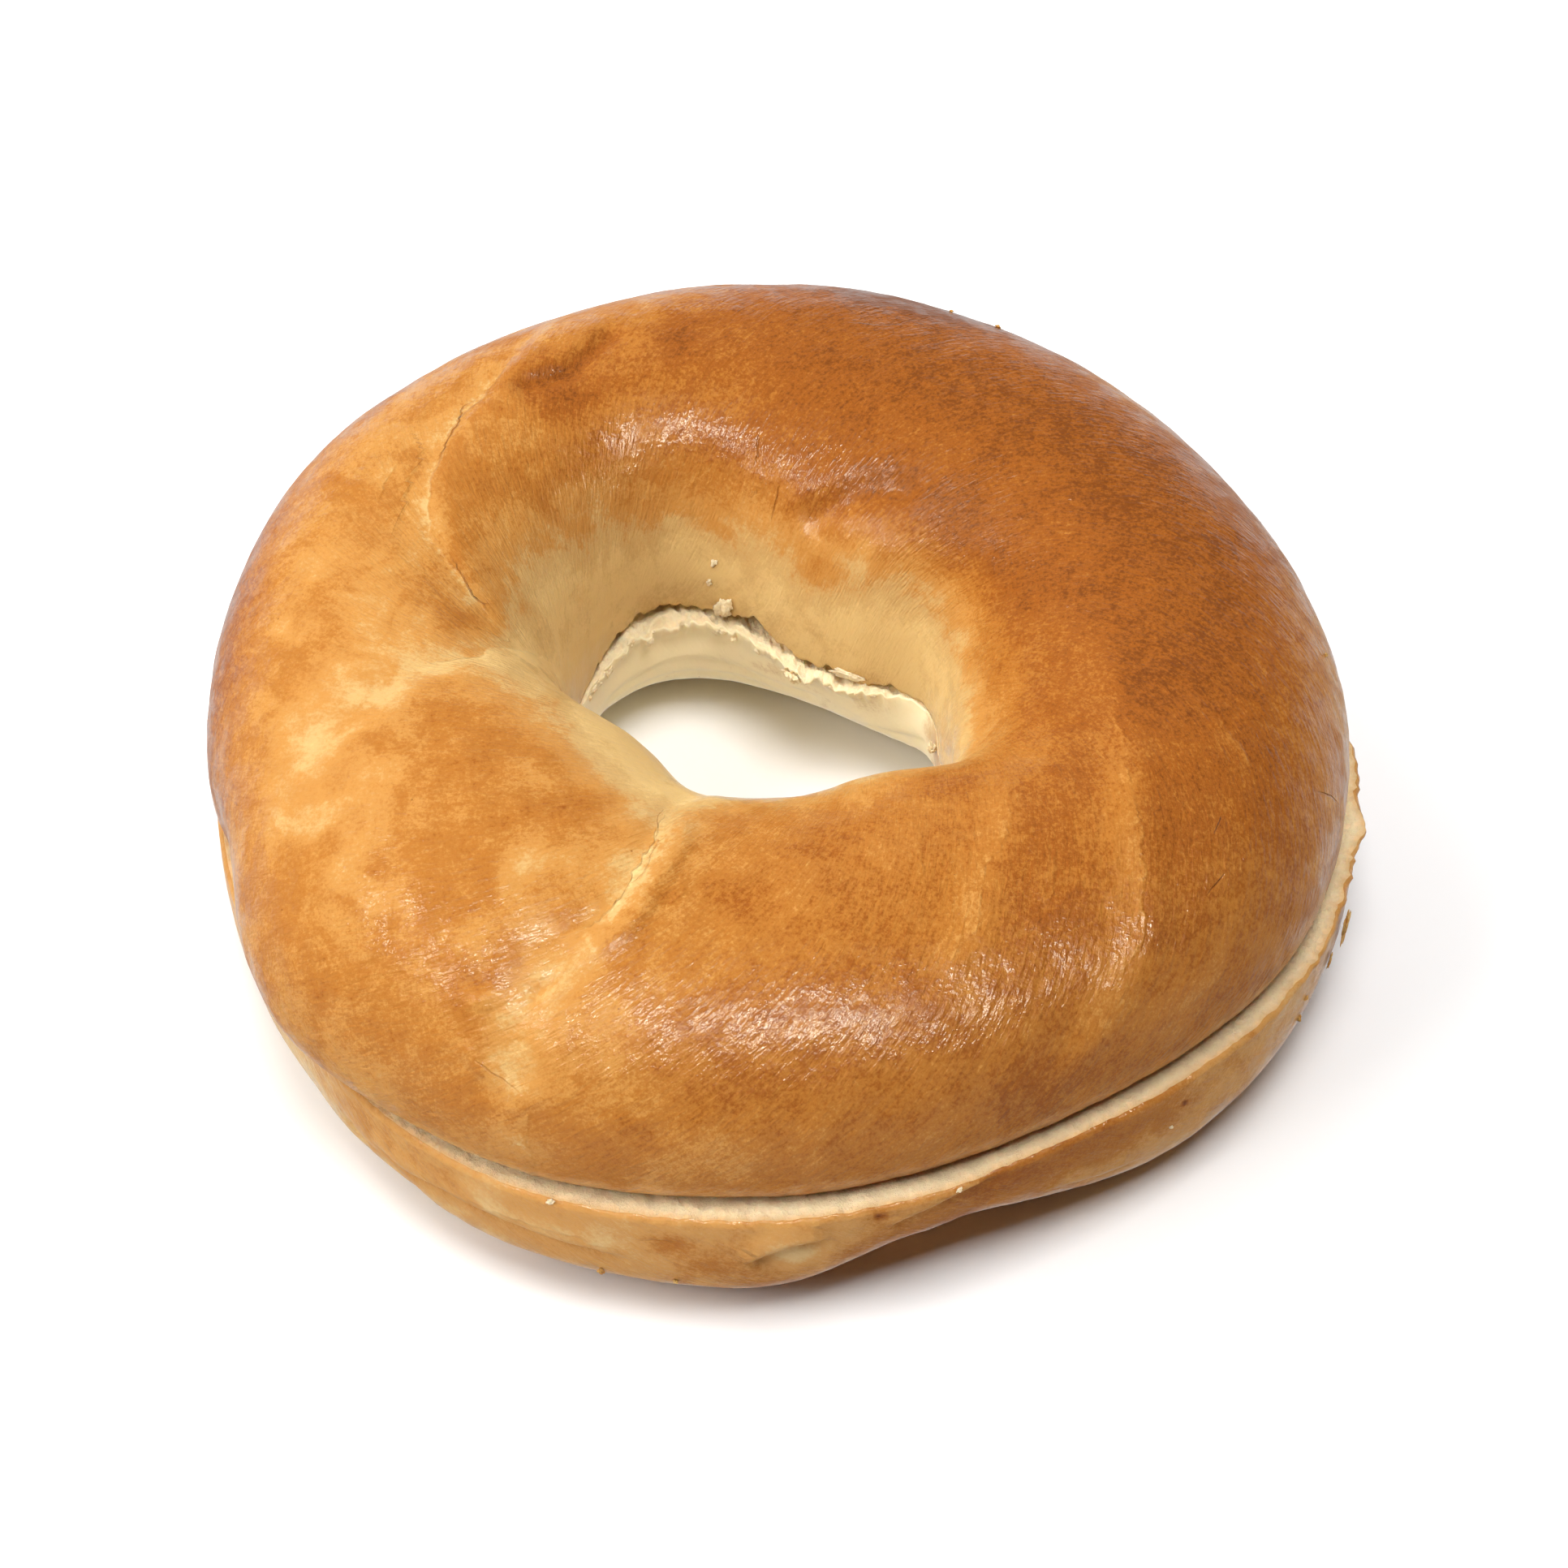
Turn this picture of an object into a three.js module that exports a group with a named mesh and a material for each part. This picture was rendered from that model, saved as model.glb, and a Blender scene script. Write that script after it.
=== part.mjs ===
// A plain bagel sliced through for filling, its top half lying back on its bottom half.
// Millimetres, +Z up, standing on z = 0, +X to the right and +Y away from the front.
//
// Each half is a ring of dough. Its crust runs round a section from the outer edge of the cut to
// the edge of the cut inside the hole, and its cut face closes the ring. A place on a crust is
// given as [angle, across]: the angle round the ring in degrees, anticlockwise from +X, and how
// far the place lies across the crust, from 0 at the outer edge of the cut to 1 at the hole's.
import * as THREE from "three";
import { mergeVertices } from "three/addons/utils/BufferGeometryUtils.js";

// ---- Driving dimensions: each list goes round the ring in equal steps, from +X anticlockwise ----
const RING_CENTRE = new THREE.Vector2(0.32, 0.43); // where the lists are measured from, in plan
const CROWN_RADIUS = [52.7, 51.2, 52.3, 54.3, 54, 55.7, 54.8, 55.4, 56.5, 53.7, 51.3, 53.3];
const CROWN_TOP = [36, 36, 36, 36, 36, 36, 36.5, 37, 36.5, 36, 36, 36];
const HOLE_RADIUS = [14.5, 14.9, 11.9, 13.7, 22.6, 21.7, 19.8, 13.3, 13.7, 12, 11.6, 16.6]; // at the cut
const HEEL_WALL_RADIUS = [14.5, 14, 12.5, 14.5, 20.5, 21, 19.5, 13.3, 13.7, 12, 11.6, 16.6]; // below it
const HEEL_RADIUS = [54, 51.5, 51.8, 53.5, 53, 55, 54.4, 54.8, 56.7, 55, 52.3, 54.3];
const CUT_HEIGHT_OUTSIDE = [15.5, 15.2, 15.2, 15.2, 15.2, 15.2, 15.2, 15.4, 16, 16.6, 16.2, 15.8];
const CUT_HEIGHT_IN_HOLE = 15.2;
const HEEL_FULLNESS = [2.9, 3, 3, 3, 3, 3, 3.2, 3.4, 3.4, 3.3, 2.9, 3.4]; // 2 is an ellipse, 4 is boxy
const GAP_IN_HOLE = [0.5, 0.5, 0.7, 1.3, 1.2, 0.8, 0.6, 0.5, 0.5, 0.5, 0.5, 0.5];
const GAP_OUTSIDE = 0.5;

const CROWN_ROUNDNESS = 2.15; // power of the dome's superellipse
const CROWN_BELLY = 4.5; // height of the dome's widest place over the cut
const CROWN_TUCK = 11; // depth over which the dome would curl back in below that place
const HEEL_HOLE_FULLNESS = 2.4; // the wall of the hole below the cut curls under like a tube
const LEDGE_START = 8; // height from which that wall leans out or in to meet the edge of the cut
const LEDGE_POWER = 1.5; // 1 leans evenly, and more leaves the lean to the top
const BASE_CRUSH = 0.6; // how much of the dough's round underside is pressed flat
const CRUMB_RELIEF = 0.12; // unevenness of the cut faces
const LUMP_HEIGHT = 0.35; // slow unevenness of the dough
const BASE_FADE = 4; // height over which that unevenness comes in above the base

// ---- Seams, folds and swellings of the dough ----
// depth and width belong to the groove, and step raises the side on the path's left hand.
const CROWN_SEAMS = [
  { name: "overlap of the dough's end", depth: 0.6, width: 1.5, step: 0.8, reach: 7,
    path: [[118, 0.33], [126, 0.4], [134, 0.44], [145, 0.485], [157, 0.53], [167, 0.61], [177, 0.74]] },
  { name: "edge of the left lobe", depth: 0.6, width: 2.6, step: -0.5, reach: 8,
    path: [[177, 0.74], [187, 0.635], [195, 0.527], [198.4, 0.436], [202, 0.25]] },
  { name: "front seam", depth: 1, width: 2.2, step: -0.4, reach: 7,
    path: [[243, 0.8], [244, 0.645], [246.5, 0.53], [246, 0.43], [241.5, 0.34], [242, 0.22], [246.6, 0.065]] },
  { name: "dimple behind the hole", depth: 0.8, width: 1.6, step: 0.6, reach: 4,
    path: [[86.3, 0.78], [79.5, 0.743], [70, 0.7], [62, 0.676], [55, 0.665]] },
  { name: "dent at the back", depth: 0.8, width: 1.6, step: 0.5, reach: 5,
    path: [[125, 0.5], [119, 0.482], [115.8, 0.46], [110, 0.44]] },
  { name: "main swirl", depth: -0.4, width: 2, step: 0.3, reach: 6,
    path: [[357, 0.616], [342, 0.567], [333, 0.516], [322, 0.42], [312, 0.267], [303, 0.165], [296, 0.1]] },
  { name: "inner swirl", depth: -0.3, width: 1.8, step: 0.15, reach: 5,
    path: [[316, 0.608], [304.7, 0.474], [294.9, 0.375], [288, 0.316]] },
];
const CROWN_SWELLINGS = [
  { name: "left lobe", at: [222, 0.5], radius: 15, height: 1 },
  { name: "overhang of the left lobe", at: [217, 0.08], radius: 11, height: 2 },
  { name: "tuck at the left edge", at: [197, 0.05], radius: 6, height: -1.5 },
  { name: "front lobe", at: [272, 0.5], radius: 16, height: 0.7 },
  { name: "knob behind the hole", at: [62, 0.78], radius: 5, height: 0.9 },
  { name: "right corner of the hole", at: [341, 0.86], radius: 4, height: 1 },
  { name: "sink beside the front seam", at: [243, 0.36], radius: 5, height: -0.9 },
];
const HEEL_SEAMS = [
  { name: "fold under the front", depth: 1.3, width: 1.8, step: 1.6, reach: 7,
    path: [[262, 0.45], [271, 0.33], [279, 0.24], [290, 0.17]] },
  { name: "crease at the front left", depth: 0.8, width: 1.6, step: 0.4, reach: 5,
    path: [[222, 0.1], [232, 0.16], [244, 0.24], [256, 0.28]] },
];
const HEEL_SWELLINGS = [
  { name: "hollow beside the fold", at: [283, 0.28], radius: 8.5, height: -5.5 },
  { name: "front right foot", at: [312, 0.3], radius: 10, height: 1.2 },
  { name: "bulge of the front foot", at: [264, 0.24], radius: 9, height: 0.6 },
];

// ---- Mesh sizes ----
const STEPS_ROUND = 120;
const FACE_STEPS = 4; // steps across a cut face
const SECTION_POINTS = 96; // points that each section curve is drawn through before it is spaced out
const SEAM_SAMPLES = 60;

/** Value at an angle from a list that goes round the ring, through a closed Catmull-Rom curve. */
function around(list, angle) {
  const place = (((angle % 360) + 360) % 360) / 360 * list.length;
  const i = Math.floor(place);
  const f = place - i;
  const [a, b, c, d] = [-1, 0, 1, 2].map((k) => list[(i + k + list.length) % list.length]);
  const bend = 2 * a - 5 * b + 4 * c - d;
  const twist = 3 * b - a - 3 * c + d;
  return 0.5 * (2 * b + (c - a) * f + bend * f ** 2 + twist * f ** 3);
}

/** A cosine or sine bent to the power that makes an ellipse fuller than round. */
const bent = (value, fullness) => Math.sign(value) * Math.abs(value) ** (2 / fullness);

/** A section curve through points made by a function of 0..1, with places spaced by length. */
function sectionCurve(pointAt) {
  const points = Array.from({ length: SECTION_POINTS + 1 }, (_, k) => pointAt(k / SECTION_POINTS));
  const curve = new THREE.SplineCurve(points);
  curve.arcLengthDivisions = SECTION_POINTS * 4;
  return curve;
}

/** Section of the top half's crust at an angle: distance from the ring's centre, and height. */
function crownSection(angle) {
  const outer = around(CROWN_RADIUS, angle);
  const inner = around(HOLE_RADIUS, angle);
  const top = around(CROWN_TOP, angle);
  const edgeOutside = around(CUT_HEIGHT_OUTSIDE, angle) + GAP_OUTSIDE / 2;
  const edgeInHole = CUT_HEIGHT_IN_HOLE + around(GAP_IN_HOLE, angle) - GAP_OUTSIDE / 2;
  const startAngle = -Math.asin((CROWN_BELLY / CROWN_TUCK) ** (CROWN_ROUNDNESS / 2));
  return sectionCurve((t) => {
    const turn = startAngle + (Math.PI - startAngle) * t;
    const rise = bent(Math.sin(turn), CROWN_ROUNDNESS);
    const widest = Math.cos(turn) > 0 ? edgeOutside + CROWN_BELLY : edgeInHole;
    const height = rise >= 0 ? widest + (top - widest) * rise : widest + CROWN_TUCK * rise;
    const reach = bent(Math.cos(turn), CROWN_ROUNDNESS);
    return new THREE.Vector2((outer + inner) / 2 + ((outer - inner) / 2) * reach, height);
  });
}

/** Section of the bottom half's crust at an angle, from the outer edge of the cut round the base. */
function heelSection(angle) {
  const outer = around(HEEL_RADIUS, angle);
  const inner = around(HEEL_WALL_RADIUS, angle);
  const ledge = around(HOLE_RADIUS, angle) - inner;
  const edgeOutside = around(CUT_HEIGHT_OUTSIDE, angle) - GAP_OUTSIDE / 2;
  const edgeInHole = CUT_HEIGHT_IN_HOLE - GAP_OUTSIDE / 2;
  const fullness = around(HEEL_FULLNESS, angle);
  return sectionCurve((t) => {
    const cosine = Math.cos(Math.PI * t);
    const power = cosine > 0 ? fullness : HEEL_HOLE_FULLNESS;
    const edge = cosine > 0 ? edgeOutside : edgeInHole;
    const drop = bent(Math.sin(Math.PI * t), power);
    const height = Math.max(edge - (edge + BASE_CRUSH) * drop, 0);
    const reach = bent(cosine, power);
    const share = Math.max(0, (height - LEDGE_START) / (edge - LEDGE_START)) ** LEDGE_POWER;
    const lean = cosine < 0 ? ledge * share : 0;
    return new THREE.Vector2((outer + inner) / 2 + ((outer - inner) / 2) * reach + lean, height);
  });
}

/** The point of a section curve at an angle round the ring. */
function inRing(angle, { x: radius, y: height }) {
  const turn = THREE.MathUtils.degToRad(angle);
  return new THREE.Vector3(
    RING_CENTRE.x + radius * Math.cos(turn),
    RING_CENTRE.y + radius * Math.sin(turn),
    height,
  );
}

/** Way out of the dough at a point of the crust, seen from the middle of the cut at that angle. */
function outward(angle, point) {
  const middle = (around(CROWN_RADIUS, angle) + around(HOLE_RADIUS, angle)) / 2;
  return point.clone().sub(inRing(angle, { x: middle, y: CUT_HEIGHT_IN_HOLE })).normalize();
}

/** Points along a seam's path, with the direction of its left hand at each. */
function traceSeam(seam, section) {
  const path = new THREE.CatmullRomCurve3(
    seam.path.map(([angle, across]) => inRing(angle, section(angle).getPointAt(across))),
  );
  const samples = path.getPoints(SEAM_SAMPLES).map((point, k) => {
    const angle = THREE.MathUtils.radToDeg(Math.atan2(point.y - RING_CENTRE.y, point.x - RING_CENTRE.x));
    const left = new THREE.Vector3().crossVectors(outward(angle, point), path.getTangent(k / SEAM_SAMPLES));
    return { point, left };
  });
  return { ...seam, samples };
}

/** Height that a seam adds at a point: its groove, and the step that fades out beyond it. */
function seamRelief(seam, point) {
  const nearest = seam.samples.reduce((best, sample) =>
    sample.point.distanceToSquared(point) < best.point.distanceToSquared(point) ? sample : best);
  const apart = nearest.point.distanceTo(point);
  const side = Math.tanh(point.clone().sub(nearest.point).dot(nearest.left) / seam.width);
  const groove = -seam.depth * Math.exp(-((apart / seam.width) ** 2));
  return groove + (seam.step / 2) * side * Math.exp(-((apart / seam.reach) ** 2));
}

/** A swelling or a hollow with the point of the crust that it is centred on. */
function placeSwelling(swelling, section) {
  const [angle, across] = swelling.at;
  return { ...swelling, centre: inRing(angle, section(angle).getPointAt(across)) };
}

/** Height that a swelling adds at a point. */
function swellingRelief({ centre, radius, height }, point) {
  return height * Math.exp(-((centre.distanceTo(point) / radius) ** 2));
}

/** Slow unevenness of risen dough at a place on the crust. */
function lump(angle, across) {
  const turn = THREE.MathUtils.degToRad(angle);
  const waves = Math.sin(5 * turn + 1.3) * Math.cos(4.1 * across) + 0.7 * Math.sin(8 * turn + 7.5 * across)
    + 0.5 * Math.cos(13 * turn - 9.2 * across + 0.8);
  return (LUMP_HEIGHT / 2) * waves;
}

/** A point of a half's crust, with the dough's unevenness, seams and swellings on it. */
function crustPoint(half, angle, curve, across) {
  const point = inRing(angle, curve.getPointAt(across));
  const fromEdges = Math.min(1, 6 * across, 6 * (1 - across)); // both edges of the cut keep their line
  const fromBase = half.crustOnTop ? 1 : THREE.MathUtils.smoothstep(point.z, 0, BASE_FADE);
  let relief = lump(angle, across) * fromEdges * fromBase;
  for (const seam of half.seams) relief += seamRelief(seam, point);
  for (const swelling of half.swellings) relief += swellingRelief(swelling, point);
  point.addScaledVector(outward(angle, point), relief);
  point.z = Math.max(0, point.z); // the base is pressed flat
  return point;
}

/** Points round a half's section, in the order of a torus's rows: up and over from the outside. */
function sectionPoints(half, angle) {
  const curve = half.section(angle);
  const steps = Array.from({ length: half.crustSteps + 1 }, (_, k) => k / half.crustSteps);
  const crust = steps.map((across) => crustPoint(half, angle, curve, across));
  const crumb = Array.from({ length: FACE_STEPS - 1 }, (_, k) => {
    const share = (k + 1) / FACE_STEPS;
    const point = crust.at(-1).clone().lerp(crust[0], share);
    const dip = Math.abs(Math.sin(17 * THREE.MathUtils.degToRad(angle)) * Math.sin(Math.PI * share));
    point.z += (half.crustOnTop ? 1 : -1) * CRUMB_RELIEF * dip; // away from the other half
    return point;
  });
  const [first, ...others] = [...crust, ...crumb];
  return half.crustOnTop ? [first, ...others] : [first, ...others.reverse()];
}

/** A half as one closed ring: a torus whose vertices are moved to the crust and the cut face. */
function makeHalf({ name, colour, section, seams, swellings, crustSteps, crustOnTop }) {
  const half = {
    section,
    crustSteps,
    crustOnTop,
    seams: seams.map((seam) => traceSeam(seam, section)),
    swellings: swellings.map((swelling) => placeSwelling(swelling, section)),
  };
  const angles = Array.from({ length: STEPS_ROUND }, (_, column) => (360 * column) / STEPS_ROUND);
  const sections = angles.map((angle) => sectionPoints(half, angle));
  const stepsAcross = sections[0].length;
  const geometry = new THREE.TorusGeometry(1, 0.5, stepsAcross, STEPS_ROUND);
  const uv = geometry.getAttribute("uv");
  const position = geometry.getAttribute("position");
  for (let i = 0; i < position.count; i++) {
    const column = Math.round(uv.getX(i) * STEPS_ROUND) % STEPS_ROUND;
    const row = Math.round(uv.getY(i) * stepsAcross) % stepsAcross;
    position.setXYZ(i, ...sections[column][row]);
  }
  geometry.deleteAttribute("normal");
  geometry.deleteAttribute("uv");
  const closed = mergeVertices(geometry, 1e-4);
  closed.computeVertexNormals();
  const material = new THREE.MeshStandardMaterial({ color: colour, roughness: 0.45, metalness: 0 });
  const mesh = new THREE.Mesh(closed, material);
  mesh.name = name;
  return mesh;
}

const bagel = new THREE.Group();
bagel.name = "bagel";
bagel.add(
  makeHalf({
    name: "top_half",
    colour: 0xcf8a45,
    section: crownSection,
    seams: CROWN_SEAMS,
    swellings: CROWN_SWELLINGS,
    crustSteps: 22,
    crustOnTop: true,
  }),
  makeHalf({
    name: "bottom_half",
    colour: 0xd9a466,
    section: heelSection,
    seams: HEEL_SEAMS,
    swellings: HEEL_SWELLINGS,
    crustSteps: 17,
    crustOnTop: false,
  }),
);

export default bagel;
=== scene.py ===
"""A plain bagel, sliced through for filling, with its top half lying back on its bottom half.

Each half is a ring of dough: a torus is cut at its middle, its two rims are bridged by the cut
face, and the vertices are then drawn out to the dough's own sections, seams, lobes and tears.
Sizes are in millimetres, and a mesh is scaled to metres as it is made.

A place on a crust is given as (angle, across): the angle round the ring in degrees, anticlockwise
from +X, and how far the place lies across the crust by length, from 0 at the outer edge of the cut
to 1 at the edge of the cut inside the hole.
"""
import logging
import math
from dataclasses import dataclass
from enum import Enum

import bpy
import numpy as np
from mathutils import Matrix, Vector, noise


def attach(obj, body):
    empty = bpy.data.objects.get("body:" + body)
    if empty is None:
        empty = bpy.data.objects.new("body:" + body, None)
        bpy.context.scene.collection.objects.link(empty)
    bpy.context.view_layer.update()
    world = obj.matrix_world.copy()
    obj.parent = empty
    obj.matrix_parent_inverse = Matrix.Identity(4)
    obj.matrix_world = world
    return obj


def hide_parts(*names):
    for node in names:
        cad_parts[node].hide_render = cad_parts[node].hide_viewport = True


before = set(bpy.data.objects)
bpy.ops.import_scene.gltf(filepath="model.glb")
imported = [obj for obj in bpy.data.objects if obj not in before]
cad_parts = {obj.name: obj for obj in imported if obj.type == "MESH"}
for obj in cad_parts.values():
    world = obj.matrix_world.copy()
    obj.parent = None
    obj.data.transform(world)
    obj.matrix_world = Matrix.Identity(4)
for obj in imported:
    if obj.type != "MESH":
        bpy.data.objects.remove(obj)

LOG = logging.getLogger("bagel")
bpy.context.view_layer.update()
MM = 0.001

Place = tuple[float, float]
Path = tuple[Place, ...]
Colour = tuple[float, float, float]
Socket = bpy.types.NodeSocket
Value = float | Colour | Socket

# ---- The ring that both halves share: lists go round it in equal steps, from +X anticlockwise ----
RING_CENTRE = (0.32, 0.43)
CROWN_RADIUS = (52.7, 51.2, 52.3, 54.3, 54, 55.7, 54.8, 55.4, 56.5, 53.7, 51.3, 53.3)
CROWN_TOP = (36, 36, 36, 36, 36, 36, 36.5, 37, 36.5, 36, 36, 36)
HOLE_RADIUS = (14.5, 14.9, 11.9, 13.7, 22.6, 21.7, 19.8, 13.3, 13.7, 12, 11.6, 16.6)
HEEL_WALL_RADIUS = (14.5, 14, 12.5, 14.5, 20.5, 21, 19.5, 13.3, 13.7, 12, 11.6, 16.6)
HEEL_RADIUS = (54, 51.5, 51.8, 53.5, 53, 55, 54.4, 54.8, 56.7, 55, 52.3, 54.3)
CUT_HEIGHT_OUTSIDE = (15.5, 15.2, 15.2, 15.2, 15.2, 15.2, 15.2, 15.4, 16, 16.6, 16.2, 15.8)
CUT_HEIGHT_IN_HOLE = 15.2
HALF_GAP = 0.2  # how far the heel's rims lie below the cut, and the crown's outer rim above it
HEEL_FULLNESS = (2.9, 3, 3, 3, 3, 3, 3.2, 3.4, 3.4, 3.3, 2.9, 3.4)
CROWN_BROWNING = (0.84, 0.83, 0.81, 0.76, 0.60, 0.50, 0.51, 0.47, 0.52, 0.62, 0.70, 0.78)
# Tone along the crown's outer edge by angle; its paling at the right, round 0°, is painted sheen for the
# grazing reflection on that edge
CROWN_EDGE_TONE_AND_PAINTED_SHEEN = (-0.4, -0.15, 0.1, -0.02, 0.0, 0.33, 0.28, 0.02, -0.1, 0.0, -0.05, -0.18)
HEEL_FOOT = (0.35, 0.0, 0.0, 0.0, 0.0, 0.0, 0.0, -0.1, -0.06, 0.1, -0.06, 0.05)
HEEL_BROWNING = (0.48, 0.5, 0.5, 0.5, 0.45, 0.4, 0.4, 0.36, 0.39, 0.45, 0.54, 0.42)
CREAM_FROM = (0.68, 0.68, 0.65, 0.67, 0.66, 0.605, 0.555, 0.54, 0.53, 0.59, 0.57, 0.67)
SECTION_STEPS = 400  # points that a section is worked out at before it is spaced out
SKIN_RADIUS = 45.0  # radius of the ring on which the skin's own pattern is true to size
RIM_RADIUS = 13.0  # radius of the hole, where a millimetre spans the widest angle
FAR_FROM_CRUST = 5.0  # what the rind field says where no crust is near
PATH_POINTS = 90  # points along a crease
HAIRLINE_POINTS = 110

# ---- Noises, as the size of their largest waves in millimetres, a seed and octaves ----
LUMPS = (11.0, 2.0, 2)
RIPPLES = (2.6, 5.0, 3)
STRAYING_LINE = (2.2, 7.1, 3)
FRAYED_RIM = (1.3, 17.0, 3)
TORN_RIM = (1.5, 21.0, 4)
FLAKY_RIM = (2.4, 31.0, 3)
LOOSE_CRUMB = (1.6, 11.0, 4)
CRUMB_GRAIN = (0.8, 13.0, 3)


class CutFace(Enum):
    """Which way the cut face of a half looks."""

    DOWN = -1
    UP = 1


def curve(knots: np.ndarray | list[np.ndarray], part: float | np.ndarray) -> np.ndarray:
    """Reads a Catmull-Rom curve between the middle two of four knots.

    Args:
        knots: Values of the four knots, in order.
        part: How far past the second knot to read, from 0 to 1.

    Returns:
        The value there.
    """
    a, b, c, d = knots
    bend = 2 * a - 5 * b + 4 * c - d
    twist = 3 * b - a - 3 * c + d
    return 0.5 * (2 * b + (c - a) * part + bend * part**2 + twist * part**3)


def around(stations: tuple[float, ...], angles: np.ndarray) -> np.ndarray:
    """Reads a list that goes round the ring, through a closed curve.

    Args:
        stations: Values at equal steps round the ring.
        angles: Angles to read it at, in degrees.

    Returns:
        One value for each angle.
    """
    values = np.asarray(stations, float)
    place = (np.asarray(angles) % 360) / 360 * len(values)
    first = np.floor(place).astype(int)
    return curve([values[(first + k) % len(values)] for k in (-1, 0, 1, 2)], place - first)


def bent(values: np.ndarray, fullness: float | np.ndarray) -> np.ndarray:
    """Bends cosines or sines, whose fullness of 2 makes an ellipse, and more a boxier one."""
    return np.sign(values) * np.abs(values) ** (2 / fullness)


def fade(values: np.ndarray, low: float, high: float) -> np.ndarray:
    """Smooth step of some values, from 0 at low to 1 at high."""
    part = np.clip((values - low) / (high - low), 0, 1)
    return part * part * (3 - 2 * part)


def bell(distance: np.ndarray, reach: float) -> np.ndarray:
    """Smooth fall from 1 at no distance towards 0 past the reach."""
    return np.exp(-((distance / reach) ** 2))


def unit(vectors: np.ndarray) -> np.ndarray:
    """Vectors along the last axis, brought to length 1."""
    return vectors / np.maximum(np.linalg.norm(vectors, axis=-1, keepdims=True), 1e-9)


def rough(points: np.ndarray, size: float, seed: float, detail: int = 1) -> np.ndarray:
    """Smooth noise in space, about -1 to 1.

    Args:
        points: Where to read it, in millimetres, with the coordinates on the last axis.
        size: Length of its largest waves.
        seed: Shift that makes one noise unlike another.
        detail: Number of octaves.

    Returns:
        The noise at each point.
    """
    flat = (points.reshape(-1, 3) / size + seed).tolist()
    if detail == 1:
        values = [noise.noise(p) for p in flat]
    else:
        values = [noise.fractal(p, 1.0, 2.0, detail) for p in flat]
    return np.array(values).reshape(points.shape[:-1])


@dataclass(frozen=True)
class Crease:
    """A groove, ridge or overlap of the dough that runs along a path on the crust.

    A negative depth is a ridge, and step raises the side on the path's left hand.
    """

    name: str
    path: Path
    depth: float = 0.0
    width: float = 1.0
    step: float = 0.0
    reach: float = 6.0
    # A positive tone darkens a groove or dent as painted shade; a negative one pales the seam's own dough.
    tone: float = 0.0
    tone_width: float = 1.5
    side_tone: float = 0.0
    side_reach: float = 5.0


@dataclass(frozen=True)
class Patch:
    """A swelling, hollow, blister or toned spot, round or stretched, centred on one place; the tone of a
    few is painted light, as their names say.
    """

    name: str
    at: Place
    size: float
    tone: float = 0.0
    stretch: float = 1.0
    turn: float = 0.0
    height: float = 0.0


@dataclass(frozen=True)
class Hairline:
    """A fine line in the skin: a crack, darkened as painted shade inside it, or the pale lip of skin that
    was drawn out.

    A lip lies on the path's left hand, and lift is how far it stands above the other side.
    """

    name: str
    path: Path
    wander: float = 0.25
    strength: float = 1.0
    taper: float = 0.35
    lift: float = 0.6


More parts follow.
